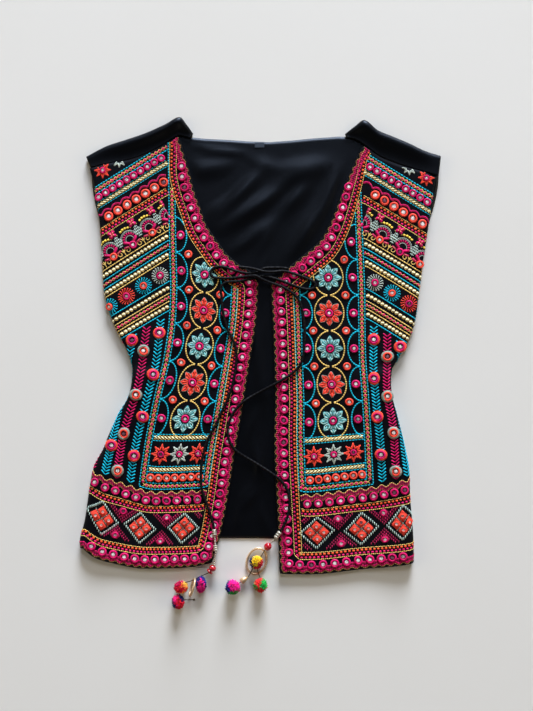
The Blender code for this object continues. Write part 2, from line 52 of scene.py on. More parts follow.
# %% [markdown]
# ## The camera
# The photograph is taken from straight above. One of its pixels is 1.15 mm on the cloth, so
# 711 pixels across the height of the picture are 0.818 m, and a lens of 61.6 mm on a 36 mm
# sensor sees that from 1.4 m. The middle of the picture is a few millimetres off the
# middle of the vest.

# %% Camera
camera_data = bpy.data.cameras.new("camera")
camera_data.sensor_fit = "VERTICAL"
camera_data.sensor_height = 36.0
camera_data.lens = 61.6
camera = bpy.data.objects.new("camera", camera_data)
camera.location = (0.0065, -0.0119, 1.405)
bpy.context.scene.collection.objects.link(camera)
bpy.context.scene.camera = camera
print("camera", tuple(round(c, 4) for c in camera.location))

# %% [markdown]
# ## Curves through short tables
# A pattern cutter writes a seam down as a few measured points and draws a smooth line
# through them. `curve` does the same for a whole array of heights at once, which is what makes
# it quick enough to place many thousand stitches.

# %% Curves
def curve(table, at):
    """Values at `at` of the smooth curve through rows of (at, value)."""
    at = np.asarray(at, float)
    x, y = np.array(table, float).T
    k = np.clip(np.searchsorted(x, at, side="right") - 1, 0, len(x) - 2)
    i = np.arange(len(x))
    before, after = np.maximum(i - 1, 0), np.minimum(i + 1, len(x) - 1)
    slope = (y[after] - y[before]) / (x[after] - x[before])
    width = x[k + 1] - x[k]
    u = np.clip((at - x[k]) / width, 0, 1)
    rise = y[k + 1] - y[k]
    start, end = slope[k] * width, slope[k + 1] * width
    return (y[k] + start * u + (3 * rise - 2 * start - end) * u ** 2
            + (start + end - 2 * rise) * u ** 3)


def ease(u):
    u = np.clip(u, 0.0, 1.0)
    return u * u * (3 - 2 * u)


def mix(a, b, u):
    return a + (b - a) * u


def unit(vectors):
    return vectors / np.linalg.norm(vectors, axis=-1, keepdims=True)


def pairs(first, second):
    """Rows of two numbers, such as places on the flat cloth from their s and t."""
    return np.stack(np.broadcast_arrays(first, second), axis=-1)


def stations_of(points):
    """How far along its line each point lies."""
    return np.concatenate([[0.0], np.cumsum(np.linalg.norm(np.diff(points, axis=0), axis=1))])


def ridges(table, x, y):
    """Height of long low ridges (or troughs, where the height is negative) at a place."""
    total = np.zeros(np.broadcast(x, y).shape)
    for fold_x, fold_y, turn, half_length, half_width, height in table:
        c, s = math.cos(math.radians(turn)), math.sin(math.radians(turn))
        along = (x - fold_x) * c + (y - fold_y) * s
        across = (y - fold_y) * c - (x - fold_x) * s
        swell = ease(1 - np.abs(along) / half_length) * np.exp(-(across / half_width) ** 2)
        total = total + height * swell
    return total


print("half way up a ridge:", round(float(ease(0.5)), 2))

# %% [markdown]
# ## How a front is cut and how it lies
# `s` is the distance in millimetres from the opening edge and `t` the height above the hem,
# both measured in the cloth. Three tables say where the front edge, the stitched band at
# s = 100 and the side lie at each height; past the side the cloth turns round and under. All
# stitching is planned in s and t, as it is on the cut cloth, and laid with it.
#
# Hand stitching is never quite square to its cloth, so a front also has tables for its rows:
# `climb` is how far they rise towards the side above the waist, `sag` how far they sink or rise
# above the hem, and `edge_roll` how far the neck edge rolls under near the shoulder. `diamonds`
# and `wedges` are the middles of the shapes at the hem.

# %% Fronts
BACK_WALL, FRONT_WALL, YOKE_WALL = 1.2, 1.8, 1.3
FRONT_TOP, HEM_LIFT, HEM_LIFT_REACH, SWELL_REACH = 5.0, 2.2, 45.0, 52.0
SIDE_ROLL, ARMHOLE_ROLL, SIDE_TURN_UNDER, ARMHOLE_TURN_UNDER = 11.5, 8.5, 20.0, 11.0
UNDERARM, SEAM_GAP, JOINED_GAP, SIDE_SEAM_GAP = (222.0, 235.0), 0.3, 0.8, 1.4
BAND_AT, HEM_BASE, HEM_FADE, SLANT_FROM = 100.0, 5.0, 240.0, 290.0


class Front:
    """One front: `out` is the way from the opening to the side."""

    def __init__(self, name, out, **tables):
        self.name, self.out = name, out
        vars(self).update(tables)

    def roll(self, t):
        """Height of the rounded side over the table, its lower side and the turned-under width."""
        share = ease((t - UNDERARM[0]) / (UNDERARM[1] - UNDERARM[0]))
        return (mix(SIDE_ROLL, ARMHOLE_ROLL, share), share * (BACK_WALL + SEAM_GAP),
                mix(SIDE_TURN_UNDER, ARMHOLE_TURN_UNDER, share))

    def radius(self, t):
        high, low, _ = self.roll(t)
        return (high - low) / 2

    def flat_end(self, t):
        """The s at which the cloth starts to turn over the side."""
        return BAND_AT + self.out * (curve(self.side, t) - curve(self.band, t)) - self.radius(t)

    def cut(self, t):
        """The s at which the cloth starts: the front edge, then the neck curve."""
        return np.maximum(0.0, curve(self.neck, t))

    def place(self, s, t):
        edge, band = curve(self.edge, t), curve(self.band, t)
        x = np.where(s < BAND_AT, mix(edge, band, s / BAND_AT), band + self.out * (s - BAND_AT))
        return x, HEM_BASE + t + curve(self.rise, s) * np.maximum(0.0, 1 - t / HEM_FADE)

    def top(self, s, t):
        """Height of the outer face where the cloth lies flat."""
        x, y = self.place(s, t)
        swell = ease(1 - (self.flat_end(t) - s) / SWELL_REACH)
        lift = HEM_LIFT * ease(1 - t / HEM_LIFT_REACH)
        low = np.maximum(3.6, FRONT_TOP + lift + ridges(self.folds, x, y) + ridges(self.creases, x, y))
        return mix(low, self.roll(t)[0], swell)

    def point(self, s, t):
        """The outer face at s, t in millimetres: flat, then round the side, then under."""
        s, t = np.broadcast_arrays(np.asarray(s, float), np.asarray(t, float))
        end, radius = self.flat_end(t), self.radius(t)
        high, low, _ = self.roll(t)
        x, y = self.place(s, t)
        edge_x = self.place(end, t)[0]
        angle = np.clip((s - end) / radius, 0, math.pi)
        round_x = edge_x + self.out * radius * np.sin(angle)
        under_x = edge_x - self.out * (s - end - math.pi * radius)
        round_z = (high + low) / 2 + radius * np.cos(angle)
        turned, under = s > end, s > end + math.pi * radius
        x = np.where(under, under_x, np.where(turned, round_x, x))
        z = np.where(under, low, np.where(turned, round_z, self.top(s, t)))
        return np.stack([x, y, z], axis=-1)

    def normal(self, s, t):
        """The way outwards at s, t, from two short steps in the cloth."""
        step = 0.6
        a = self.point(s + step, t) - self.point(s - step, t)
        b = self.point(s, t + step) - self.point(s, t - step)
        return unit(np.cross(a, b) * self.out)


print("a side turns round", SIDE_ROLL / 2, "mm of radius at the hem")

# %% The two fronts
LEFT = Front(
    "front_left", -1,
    edge=[(-5, -57), (8, -54), (40, -44.6), (80, -37), (120, -31), (160, -24.3), (200, -18), (240, -12),
          (280, -5.6), (315, -2.6), (345, -2.3), (520, -2.3)],
    band=[(0, -147), (40, -142), (80, -137.6), (120, -132.6), (160, -126), (200, -117.5), (240, -108),
          (280, -102), (320, -99.8), (360, -100.6), (400, -101.4), (440, -102), (520, -103)],
    side=[(0, -206.5), (10, -207.7), (35, -202), (60, -198.6), (85, -195.2), (105, -191), (125, -182),
          (150, -173.5), (175, -163), (195, -152.5), (215, -148), (235, -147.7), (255, -155.2),
          (275, -165.5), (295, -173.5), (315, -179), (335, -181), (375, -183), (410, -186.3),
          (440, -190.8), (462, -196.8), (480, -200.6)],
    neck=[(334, -3), (337, 3), (343, 12), (350, 23.3), (362, 37), (376, 47.5), (394, 59.6), (413, 66.5),
          (438, 75), (455, 79), (475, 85), (498, 92)],
    rise=[(0, 8), (27, 3), (80, 1.3), (100, 2.6), (121, 7.3), (139, 12.6), (148, 18), (156, 25)],
    folds=[(-150, 205, 20, 60, 9, -1.3), (-110, 262, -12, 60, 10, 1.2), (-66, 170, 68, 80, 12, 1.3),
           (-168, 100, 72, 60, 10, 1.0), (-95, 60, 12, 70, 12, 1.2), (-136, 330, 60, 70, 14, 1.1),
           (-45, 262, 80, 60, 9, -1.1), (-84, 400, 74, 60, 9, 1.0)],
    creases=[(-128, 236, 14, 34, 3.4, -0.5), (-70, 120, 80, 44, 4.2, 0.45), (-96, 300, 62, 38, 3.6, -0.4),
             (-158, 62, 64, 30, 3.2, 0.5), (-120, 420, 66, 36, 3.8, 0.4), (-52, 60, 40, 30, 3.0, -0.45)],
    seam_height=461.0,
    seam_bow=[(0, 0), (0.168, 0.265), (0.368, 0.54), (0.58, 0.74), (0.81, 0.857), (1, 1)],
    climb=[(0, 0), (38, 0), (63.5, 3), (90, 7.5), (105, 9.5), (150, 8), (185, 6)],
    sag=[(0, 0), (22, 0), (30, -2.3), (44, -2.8), (67, -3.6), (90, -3.6), (104, -1), (118, 2), (131, 4.5),
         (153, 6.5), (175, 7.5)],
    sag_fade=70.0,
    edge_roll=[(0, 0), (450, 0), (460, 1.6), (473, 6), (486, 10.4), (496, 12)],
    diamonds=[(46.2, 46.0), (97.0, 46.0), (140.5, 47.4)],
    wedges=[(20.0, 60.0), (67.5, 60.0), (118.0, 61.0), (20.0, 31.0), (71.2, 31.0), (124.0, 32.5)],
    hem_mirrors=35.0, shoulder_mirrors=-1.0,
)

RIGHT = Front(
    "front_right", 1,
    edge=[(-5, 22.7), (35, 21.3), (80, 18.8), (120, 16.6), (160, 15.9), (195, 17), (240, 16), (280, 14.6),
          (312, 12.8), (345, 12), (400, 9), (440, 7.6), (520, 6)],
    band=[(0, 131.5), (40, 129.6), (80, 127.2), (120, 125), (160, 123), (200, 120.4), (240, 117.6),
          (280, 116.8), (320, 116.4), (360, 114.8), (400, 113.2), (440, 111.8), (520, 109)],
    side=[(0, 175.4), (8, 176.3), (35, 175.5), (75, 172.4), (110, 171), (135, 166.5), (155, 162),
          (178, 156.5), (198, 151.6), (214, 150.2), (230, 151.6), (242, 158.5), (256, 166.5),
          (275, 175), (295, 179.6), (320, 182.5), (355, 187.3), (400, 194), (432, 198.4), (451, 202.3),
          (475, 207.5)],
    neck=[(329, -3), (333, 4), (340, 12.5), (347, 20.5), (361, 37.7), (376, 55), (396, 67.5), (418, 77),
          (438, 85), (457, 93), (477, 102.6), (487, 109.4)],
    rise=[(0, -4.8), (42, -4.8), (84, 0.5), (111, 3.2), (137, 6.5), (148, 10), (156, 17)],
    folds=[(140, 214, -24, 60, 9, -1.3), (96, 268, 14, 60, 10, 1.2), (60, 150, 96, 90, 12, 1.3),
           (150, 110, 100, 60, 10, 1.0), (90, 58, -8, 70, 12, 1.2), (140, 320, 112, 70, 14, 1.1),
           (38, 250, 92, 60, 9, -1.1), (96, 396, 112, 60, 9, 1.0)],
    creases=[(124, 230, -18, 34, 3.6, -0.5), (74, 104, 98, 46, 4.0, 0.45), (110, 330, 104, 40, 3.4, -0.4),
             (136, 60, 118, 30, 3.4, 0.5), (150, 404, 112, 34, 3.8, 0.4), (44, 58, 130, 28, 3.0, -0.4)],
    seam_height=451.0,
    seam_bow=[(0, 0), (0.22, 0.344), (0.435, 0.55), (0.65, 0.714), (0.864, 0.85), (1, 1)],
    climb=[(0, 0), (102, 0), (108, 1.2), (125, 0.8), (150, -0.6), (175, -2.2), (200, -3)],
    sag=[(0, 0), (22, 0), (30, -2.7), (59, -1.4), (94, 0.6), (117, 3.8), (145, 8.2), (170, 10)],
    sag_fade=140.0,
    edge_roll=[(0, 0), (370, 0), (385, 1.2), (400, 2), (414, 3), (429, 4.2), (452, 7), (473, 11.5),
               (487, 13)],
    diamonds=[(40.8, 46.2), (88.0, 45.6), (134.3, 47.6)],
    wedges=[(18.3, 60.0), (63.7, 60.0), (113.1, 61.0), (18.3, 31.0), (65.8, 31.0), (112.9, 31.5)],
    hem_mirrors=32.3, shoulder_mirrors=2.8,
)
FRONTS = (LEFT, RIGHT)
for front in FRONTS:
    print(front.name, "width at the hem", round(float(front.flat_end(0.0)), 1), "mm")

# %% [markdown]
# ## The back and the yokes
# The back is one plain piece under the fronts, with a few soft folds where it was dropped on
# the table. Each yoke is a folded strip that runs from the front seam over the shoulder and
# a little way down behind it.

# %% Back and yokes
BACK_HEM = [(-200, 31), (-150, 35), (-90, 39), (-20, 40), (60, 38), (120, 34), (175, 27)]
BACK_TOP = [(-194.5, 464.8), (-173.5, 476), (-151.7, 483.3), (-131, 490.6), (-110.7, 500.5), (-94.4, 509.2),
            (-86.6, 509), (-78.5, 503), (-64, 501.5), (-39, 500.2), (-14, 498.5), (10, 497.6), (36, 499.4),
            (62, 502), (90, 504), (99, 503.6), (108.3, 507.6), (119.8, 506), (136, 494), (153.5, 486.5),
            (171, 479), (188.7, 470), (205.7, 464.6)]
BACK_STEP, ARMHOLE_INSET = (252.0, 270.0), 3.0
BACK_FOLDS = [
    (-25, 437, 46, 62, 9, 3.4), (38, 431, 47, 44, 8, 2.6), (-41, 486, -6, 34, 4, 1.3),
    (40, 470, 12, 44, 7, 1.2), (-4, 392, 40, 40, 8, 1.8), (-3, 250, 94, 76, 5, 1.4),
    (-14, 84, 50, 24, 5, 1.4), (-2, 120, 82, 50, 5, 1.2),
]
BACK_CREASES = [  # only where the back shows: round the neck, then down the gap
    (-10, 420, 34, 70, 9, 3.6), (-34, 448, 44, 50, 8, -1.8), (54, 396, 57, 56, 8, 3.2),
    (24, 428, 50, 46, 9, -1.2), (80, 440, 68, 44, 7, 2.0), (-62, 466, 10, 44, 10, 2.2),
    (50, 462, 18, 50, 10, 2.6), (2, 472, -14, 30, 7, 0.9), (-66, 491, -8, 22, 2.6, 0.7),
    (-60, 484, -3, 20, 2.4, 0.6), (-52, 424, 52, 26, 5, 1.0), (6, 384, 62, 30, 6, 1.2),
    (-24, 376, 38, 24, 5, 0.9), (2, 352, 70, 34, 5, 0.7), (-10, 312, 96, 40, 3.5, 1.1),
    (4, 290, 84, 44, 4, 1.0), (6, 206, 88, 36, 3.5, 0.8), (-12, 168, 72, 30, 4, 1.0),
    (-4, 130, 100, 34, 3.5, 0.9), (-26, 62, 84, 22, 3.5, 1.1), (2, 66, 98, 26, 3.5, 1.0),
    (-38, 52, 60, 16, 3, 0.8), (10, 52, 110, 18, 3, 0.8), (-18, 92, 52, 22, 3, 0.8),
]
YOKE_LEFT = [  # share, seam x, seam y, fold x, fold y, roll, turned under
    (0.0, -195, 466.3, -200.6, 479.6, 8.0, 14.0), (0.17, -172, 471.3, -178, 491.4, 8.5, 16.0),
    (0.33, -150, 475.6, -155, 499.0, 9.0, 16.0), (0.5, -130, 483.0, -133, 506.5, 9.5, 16.0),
    (0.67, -111, 493.2, -110, 516.5, 10.5, 16.0), (0.82, -95.5, 503.2, -93, 525.0, 11.0, 16.0),
    (0.91, -88, 502.6, -85, 516.8, 7.6, 10.5), (1.0, -81, 500.8, -77.5, 506.4, 3.6, 4.5),
]
YOKE_RIGHT = [
    (0.0, 204.6, 456.0, 207.5, 480.5, 8.0, 15.0), (0.17, 188, 461.4, 190, 486.0, 8.5, 16.0),
    (0.33, 171, 466.3, 171, 495.0, 9.0, 16.0), (0.5, 154, 472.2, 153, 502.5, 9.5, 16.0),
    (0.67, 137, 479.6, 135, 510.0, 10.5, 16.0), (0.82, 119.5, 492.4, 119.5, 521.6, 11.0, 16.0),
    (0.91, 108.5, 499.5, 108.5, 514.6, 7.6, 10.0), (1.0, 99.5, 501.4, 97.5, 506.2, 3.6, 4.0),
]
YOKE_SEAM_OUTER, YOKE_SEAM_INNER = 7.6, 4.8
print(len(BACK_FOLDS), "folds and", len(BACK_CREASES), "creases in the back")

# %% Height of the laid cloth
def back_edge(front, y):
    """x of the back's side: the side seam below the underarm, the armhole edge above it."""
    side = curve(front.side, y - HEM_BASE)
    seam = side - front.out * (SIDE_ROLL / 2 + SIDE_TURN_UNDER + SIDE_SEAM_GAP)
    armhole = side - front.out * ARMHOLE_INSET
    return mix(seam, armhole, ease((y - BACK_STEP[0]) / (BACK_STEP[1] - BACK_STEP[0])))


def openness(x, y):
    """1 where the back lies open, fading to 0 at the edges of the fronts."""
    share = np.ones(np.broadcast(x, y).shape)
    for front in FRONTS:
        t = y - HEM_BASE
        edge = curve(front.edge, t)
        s = BAND_AT * (x - edge) / (curve(front.band, t) - edge)
        share = share * ease((front.cut(t) - s) / 14)
    return share


def back_height(x, y):
    return np.maximum(0.0, ridges(BACK_FOLDS, x, y) + openness(x, y) * ridges(BACK_CREASES, x, y))


def surface(x, y):
    """Height of the cloth's top at places inside the garment."""
    height = np.where(y > curve(BACK_HEM, x) - 1, back_height(x, y) + BACK_WALL, 0.0)
    for front in FRONTS[::-1]:
        t = y - HEM_BASE
        for _ in range(3):
            edge, band = curve(front.edge, t), curve(front.band, t)
            s = BAND_AT * (x - edge) / (band - edge)
            t = y - HEM_BASE - curve(front.rise, np.maximum(s, 0.0)) * np.maximum(0.0, 1 - t / HEM_FADE)
        on_it = (t > -1) & (s >= front.cut(t) - 1)
        height = np.where(on_it, front.top(np.maximum(s, 0.0), t), height)
    return height


print("cloth under the knot", round(float(surface(np.array(0.0), np.array(345.0))), 2), "mm high")

# %% [markdown]
# ## Node helpers
# Every material here is a node tree. `wire` makes a node and fills its inputs in one call, so
# the cells below read as a list of what goes into what. Place, blend and relief are needed by
# almost every finish and have a helper each.

# %% Node helpers
def feed(tree, node, inputs):
    """Fill a node's inputs; each is a number, a colour or another node's output."""
    for key, value in inputs.items():
        if isinstance(value, bpy.types.NodeSocket):
            tree.links.new(value, node.inputs[key])
        else:
            node.inputs[key].default_value = value


def wire(tree, kind, inputs=None, **settings):
    """A new node with its settings and inputs."""
    node = tree.nodes.new(kind)
    for key, value in settings.items():
        setattr(node, key, value)
    feed(tree, node, inputs or {})
    return node


def own_place(tree):
    """The place on the piece itself, which moves with it."""
    return wire(tree, "ShaderNodeTexCoord").outputs["Object"]


def blend(tree, share, a, b):
    """A colour between two, by a share that changes over the surface."""
    return wire(tree, "ShaderNodeMix", {"Factor": share, "A": (*a, 1), "B": (*b, 1)},
                data_type="RGBA").outputs["Result"]


def raised(tree, height, strength, distance):
    """The normal of a surface with this fine relief."""
    return wire(tree, "ShaderNodeBump", {"Height": height, "Strength": strength,
                                         "Distance": distance}).outputs["Normal"]


def linear(code):
    """A colour chart's six-digit code as linear red, green and blue."""
    parts = [int(code[i:i + 2], 16) / 255 for i in (0, 2, 4)]
    return tuple(p / 12.92 if p <= 0.04045 else ((p + 0.055) / 1.055) ** 2.4 for p in parts)


def shader_group(name, inputs, outputs):
    """An empty shader group with named sockets, and its two ends."""
    group = bpy.data.node_groups.new(name, "ShaderNodeTree")
    for label, kind, default in inputs:
        socket = group.interface.new_socket(name=label, in_out="INPUT", socket_type="NodeSocket" + kind)
        if default is not None:
            socket.default_value = default
    for label, kind in outputs:
        group.interface.new_socket(name=label, in_out="OUTPUT", socket_type="NodeSocket" + kind)
    return group, group.nodes.new("NodeGroupInput").outputs, group.nodes.new("NodeGroupOutput")


def show(name, data):
    """An object in the scene that holds this mesh or light."""
    made = bpy.data.objects.new(name, data)
    bpy.context.scene.collection.objects.link(made)
    return made


def finish_of(name, roughness=0.8, **sockets):
    """A material with its Principled shader; constants go on the shader's own sockets."""
    made = bpy.data.materials.new(name)
    made.use_nodes = True
    shader = made.node_tree.nodes["Principled BSDF"]
    shader.inputs["Roughness"].default_value = roughness
    for key, value in sockets.items():
        shader.inputs[key.replace("_", " ")].default_value = value
    return made, made.node_tree, shader


print("navy in linear light", tuple(round(c, 4) for c in linear("12121c")))

# %% [markdown]
# ## Black cotton
# The cloth is a plain weave: one thread over, one under. Two band waves at right angles
# give the threads' height and a slow noise gives the uneven dye and the grey bloom of lint. Both
# are in one group, because the vest, its yokes and its label all use them.

# %% Woven cotton
weave, weave_in, weave_out = shader_group(
    "plain weave",
    [("Place", "Vector", None), ("Threads", "Float", 1800.0), ("Patchiness", "Float", 18.0)],
    [("Height", "Float"), ("Bloom", "Float")])
lengthwise, crosswise = (
    wire(weave, "ShaderNodeTexWave", {"Vector": weave_in["Place"], "Scale": weave_in["Threads"],
                                      "Distortion": 0.6, "Detail": 1.0}, bands_direction=way).outputs["Fac"]
    for way in ("X", "Y"))
higher = wire(weave, "ShaderNodeMath", {0: lengthwise, 1: crosswise}, operation="MAXIMUM")
patches = wire(weave, "ShaderNodeTexNoise", {"Vector": weave_in["Place"], "Scale": weave_in["Patchiness"],
                                             "Detail": 6.0, "Roughness": 0.6})
feed(weave, weave_out, {"Height": higher.outputs[0], "Bloom": patches.outputs["Fac"]})


def cotton(name, dark, light, threads=1300.0, relief=0.14, roughness=0.4, gloss=0.3):
    """Woven cotton: a cool sheen on two blacks that change slowly, and the weave's relief."""
    made, tree, shader = finish_of(name, roughness, Specular_IOR_Level=gloss,
                                   Specular_Tint=(0.66, 0.78, 1.0, 1.0))
    woven = wire(tree, "ShaderNodeGroup", {"Place": own_place(tree), "Threads": threads},
                 node_tree=weave).outputs
    feed(tree, shader, {"Base Color": blend(tree, woven["Bloom"], dark, light),
                        "Normal": raised(tree, woven["Height"], relief, 0.0001)})
    return made


black_cotton = cotton("black_cotton", linear("010102"), linear("040408"), roughness=0.37)
front_cotton = cotton("front_cotton", linear("040406"), linear("0b0a10"), relief=0.3, roughness=0.6,
                      gloss=0.1)
label_tape = cotton("label_tape", linear("2a303a"), linear("4a5462"), threads=2600.0, roughness=0.8)
print("cotton materials made")

# %% [markdown]
# ## Twisted thread
# Sewing thread, yarn and the cords are all spun, so one group gives the slanting ridges of the
# twist from a thread's own length and girth.

# %% Thread twist
twist, twist_in, twist_out = shader_group(
    "thread twist",
    [("Along", "Vector", None), ("Turns", "Float", 6.0), ("Girth", "Float", 1.0), ("Wander", "Float", 0.2)],
    [("Height", "Float")])
turns_of = wire(twist, "ShaderNodeCombineXYZ", {"X": twist_in["Turns"], "Y": twist_in["Girth"], "Z": 1.0})
wound = wire(twist, "ShaderNodeVectorMath", {0: twist_in["Along"], 1: turns_of.outputs[0]},
             operation="MULTIPLY")
ply = wire(twist, "ShaderNodeTexWave", {"Vector": wound.outputs[0], "Scale": math.pi / 10,
                                        "Distortion": twist_in["Wander"]}, bands_direction="DIAGONAL")
feed(twist, twist_out, {"Height": ply.outputs["Fac"]})


def twist_height(tree, turns, girth=1.0, wander=0.2):
    """The height of the twist along a piece that carries its length in the UV map."""
    along = wire(tree, "ShaderNodeUVMap", uv_map="along").outputs["UV"]
    return wire(tree, "ShaderNodeGroup", {"Along": along, "Turns": turns, "Girth": girth, "Wander": wander},
                node_tree=twist).outputs["Height"]


print("twist inputs:", [socket.name for socket in twist_in if socket.name])

# %% [markdown]
# ## Metal and glass
# The caps and seed beads are worn silver, the ring and the bell pale gold, and the two beads
# deep red glass. The metals share one group that darkens and dulls them in random patches, as
# old costume metal is.

# %% Metal and glass
tarnish, tarnish_in, tarnish_out = shader_group(
    "tarnish", [("Place", "Vector", None), ("Grain", "Float", 900.0)],
    [("Mask", "Float"), ("Dullness", "Float")])
spots = wire(tarnish, "ShaderNodeTexNoise", {"Vector": tarnish_in["Place"], "Scale": tarnish_in["Grain"],
                                             "Detail": 3.0}).outputs["Fac"]
mask = wire(tarnish, "ShaderNodeMapRange", {"Value": spots, "From Min": 0.38, "From Max": 0.68})
dull = wire(tarnish, "ShaderNodeMapRange", {"Value": spots, "From Min": 0.3, "From Max": 0.7,
                                            "To Min": 0.18, "To Max": 0.46})
feed(tarnish, tarnish_out, {"Mask": mask.outputs[0], "Dullness": dull.outputs[0]})


def old_metal(name, bright, worn):
    """Plated metal that is worn and dull in patches."""
    made, tree, shader = finish_of(name, 0.3, Metallic=0.6)
    spotted = wire(tree, "ShaderNodeGroup", {"Place": own_place(tree)}, node_tree=tarnish).outputs
    feed(tree, shader, {"Base Color": blend(tree, spotted["Mask"], bright, worn),
                        "Roughness": spotted["Dullness"]})
    return made


silver = old_metal("silver", linear("e6e2d8"), linear("a49c8c"))
pale_gold = old_metal("pale_gold", linear("f0d0a4"), linear("b89468"))
dark_gold = old_metal("dark_gold", linear("5c4a36"), linear("2a2019"))
red_glass, glass_tree, glass_shader = finish_of("red_glass", 0.12, Coat_Weight=0.6, Coat_Roughness=0.05)
swirl = wire(glass_tree, "ShaderNodeTexNoise",
             {"Vector": own_place(glass_tree), "Scale": 260.0, "Detail": 2.0}).outputs["Fac"]
feed(glass_tree, glass_shader, {"Base Color": blend(glass_tree, swirl, linear("740a1e"), linear("e0142e"))})
print("metals and glass made")

# %% [markdown]
# ## The two ties
# Each tie is one thin cord of turned black cotton. From its neck corner it makes half of the
# bow, crosses the knot and runs down over the cloth to its beads. The route is the
# one that the solids follow, in the same numbers, raised by the cloth under it. A tube of mesh
# that carries its own length as a texture coordinate lets the twist of the cord follow every
# bend.

# %% Tie routes
CORD = 3.0
KNOT = (-9.0, 17.0, 331.0)
TIE_CLEARANCE, TIE_STIFFNESS_REACH = 0.35, 5.5
TIE_ROUTES = {
    "tie_left": [  # x, y, height over what lies below
        (-25.0, 352.6, 0), (-14.0, 351.5, 0.6), (-5.0, 349.5, 3.2), (0.0, 348.0, 3.8), (5.0, 346.9, 3.2),
        (15.0, 346.8, 0.4), (27.0, 347.8, 0), (40.0, 344.4, 0), (52.8, 339.6, 0), (61.6, 335.0, 0),
        (63.6, 331.4, 0), (60.4, 327.8, 0), (52.6, 327.0, 0), (40.2, 330.6, 0), (26.0, 336.0, 0),
        (12.4, 340.4, 0), (2.0, 341.8, 0), (-9.0, 339.4, 0), (-26.0, 336.0, 0), (-39.6, 335.0, 0),
        (-45.4, 329.0, 0), (-44.6, 318.6, 0), (-43.0, 300.0, 0), (-36.6, 278.0, 0), (-29.4, 264.0, 0),
        (-27.4, 248.0, 0), (-29.6, 228.0, 0), (-35.6, 206.0, 0), (-43.4, 188.4, 0), (-50.8, 172.4, 0),
        (-59.6, 156.2, 0), (-65.0, 140.4, 0), (-68.0, 121.0, 0), (-67.6, 98.6, 0), (-61.8, 80.6, 0),
        (-57.0, 66.0, 0), (-54.2, 57.0, 0.8), (-53.3, 51.7, 1.4)],
    "tie_right": [
        (31.6, 350.6, 0), (22.0, 351.8, 0), (14.0, 351.6, 0), (4.0, 350.9, 0), (0.0, 348.4, 0),
        (-5.0, 345.9, 0), (-16.0, 345.4, 0), (-30.0, 348.6, 0), (-42.0, 352.6, 0), (-52.4, 352.2, 0),
        (-57.4, 346.6, 0), (-55.0, 341.2, 0), (-46.4, 339.8, 0), (-33.0, 339.8, 0), (-18.0, 341.4, 1.0),
        (-6.0, 342.2, 3.8), (-2.0, 340.6, 4.0), (2.0, 338.2, 3.6), (12.0, 334.2, 1.0), (25.0, 330.0, 0),
        (36.0, 323.2, 0), (43.0, 316.4, 0), (47.0, 307.0, 0), (50.0, 291.0, 0), (51.0, 275.4, 0),
        (50.0, 258.0, 0), (47.0, 242.6, 0), (39.6, 233.0, 0), (26.4, 223.6, 0), (0.0, 209.2, 0),
        (-18.6, 198.4, 0), (-28.6, 188.4, 0), (-35.0, 177.0, 0), (-37.6, 164.0, 0), (-35.0, 151.0, 0),
        (-26.4, 140.0, 0), (-10.0, 129.6, 0), (12.0, 116.0, 0), (25.4, 105.0, 0), (32.4, 92.4, 0),
        (33.4, 78.0, 0), (30.6, 64.0, 0), (26.6, 55.2, 0.8), (23.2, 49.3, 1.6)],
}


def tie_path(route):
    """The route with a point added between each two, lying on the cloth, in metres."""
    points = np.array(route, float)
    stations = stations_of(points)
    finer = np.sort(np.concatenate([stations, (stations[1:] + stations[:-1]) / 2]))
    x, y, over = (curve(pairs(stations, points[:, k]), finer) for k in range(3))
    around = np.arange(12) * math.pi / 6
    ring = surface(x[:, None] + TIE_STIFFNESS_REACH * np.cos(around),
                   y[:, None] + TIE_STIFFNESS_REACH * np.sin(around))
    bridged = np.where((KNOT[0] < x) & (x < KNOT[1]) & (y > KNOT[2]), FRONT_TOP + 0.2, 0.0)
    beds = np.maximum.reduce([surface(x, y), bridged, ring.max(axis=1)])
    padded = np.pad(beds, 1, mode="edge")
    bed = np.maximum(beds, (padded[:-2] + padded[1:-1] + padded[2:]) / 3)
    return (np.stack([x, y, bed + CORD / 2 + TIE_CLEARANCE + over], axis=1) - MIDDLE) * MM


def resample(path, spacing):
    """Points at an even spacing on the smooth line through a path."""
    stations = stations_of(path)
    at = np.linspace(0, stations[-1], max(2, int(stations[-1] / spacing)))
    return np.stack([curve(pairs(stations, path[:, k]), at) for k in range(3)], axis=1)


print("routes of the ties:", {name: len(route) for name, route in TIE_ROUTES.items()}, "points")

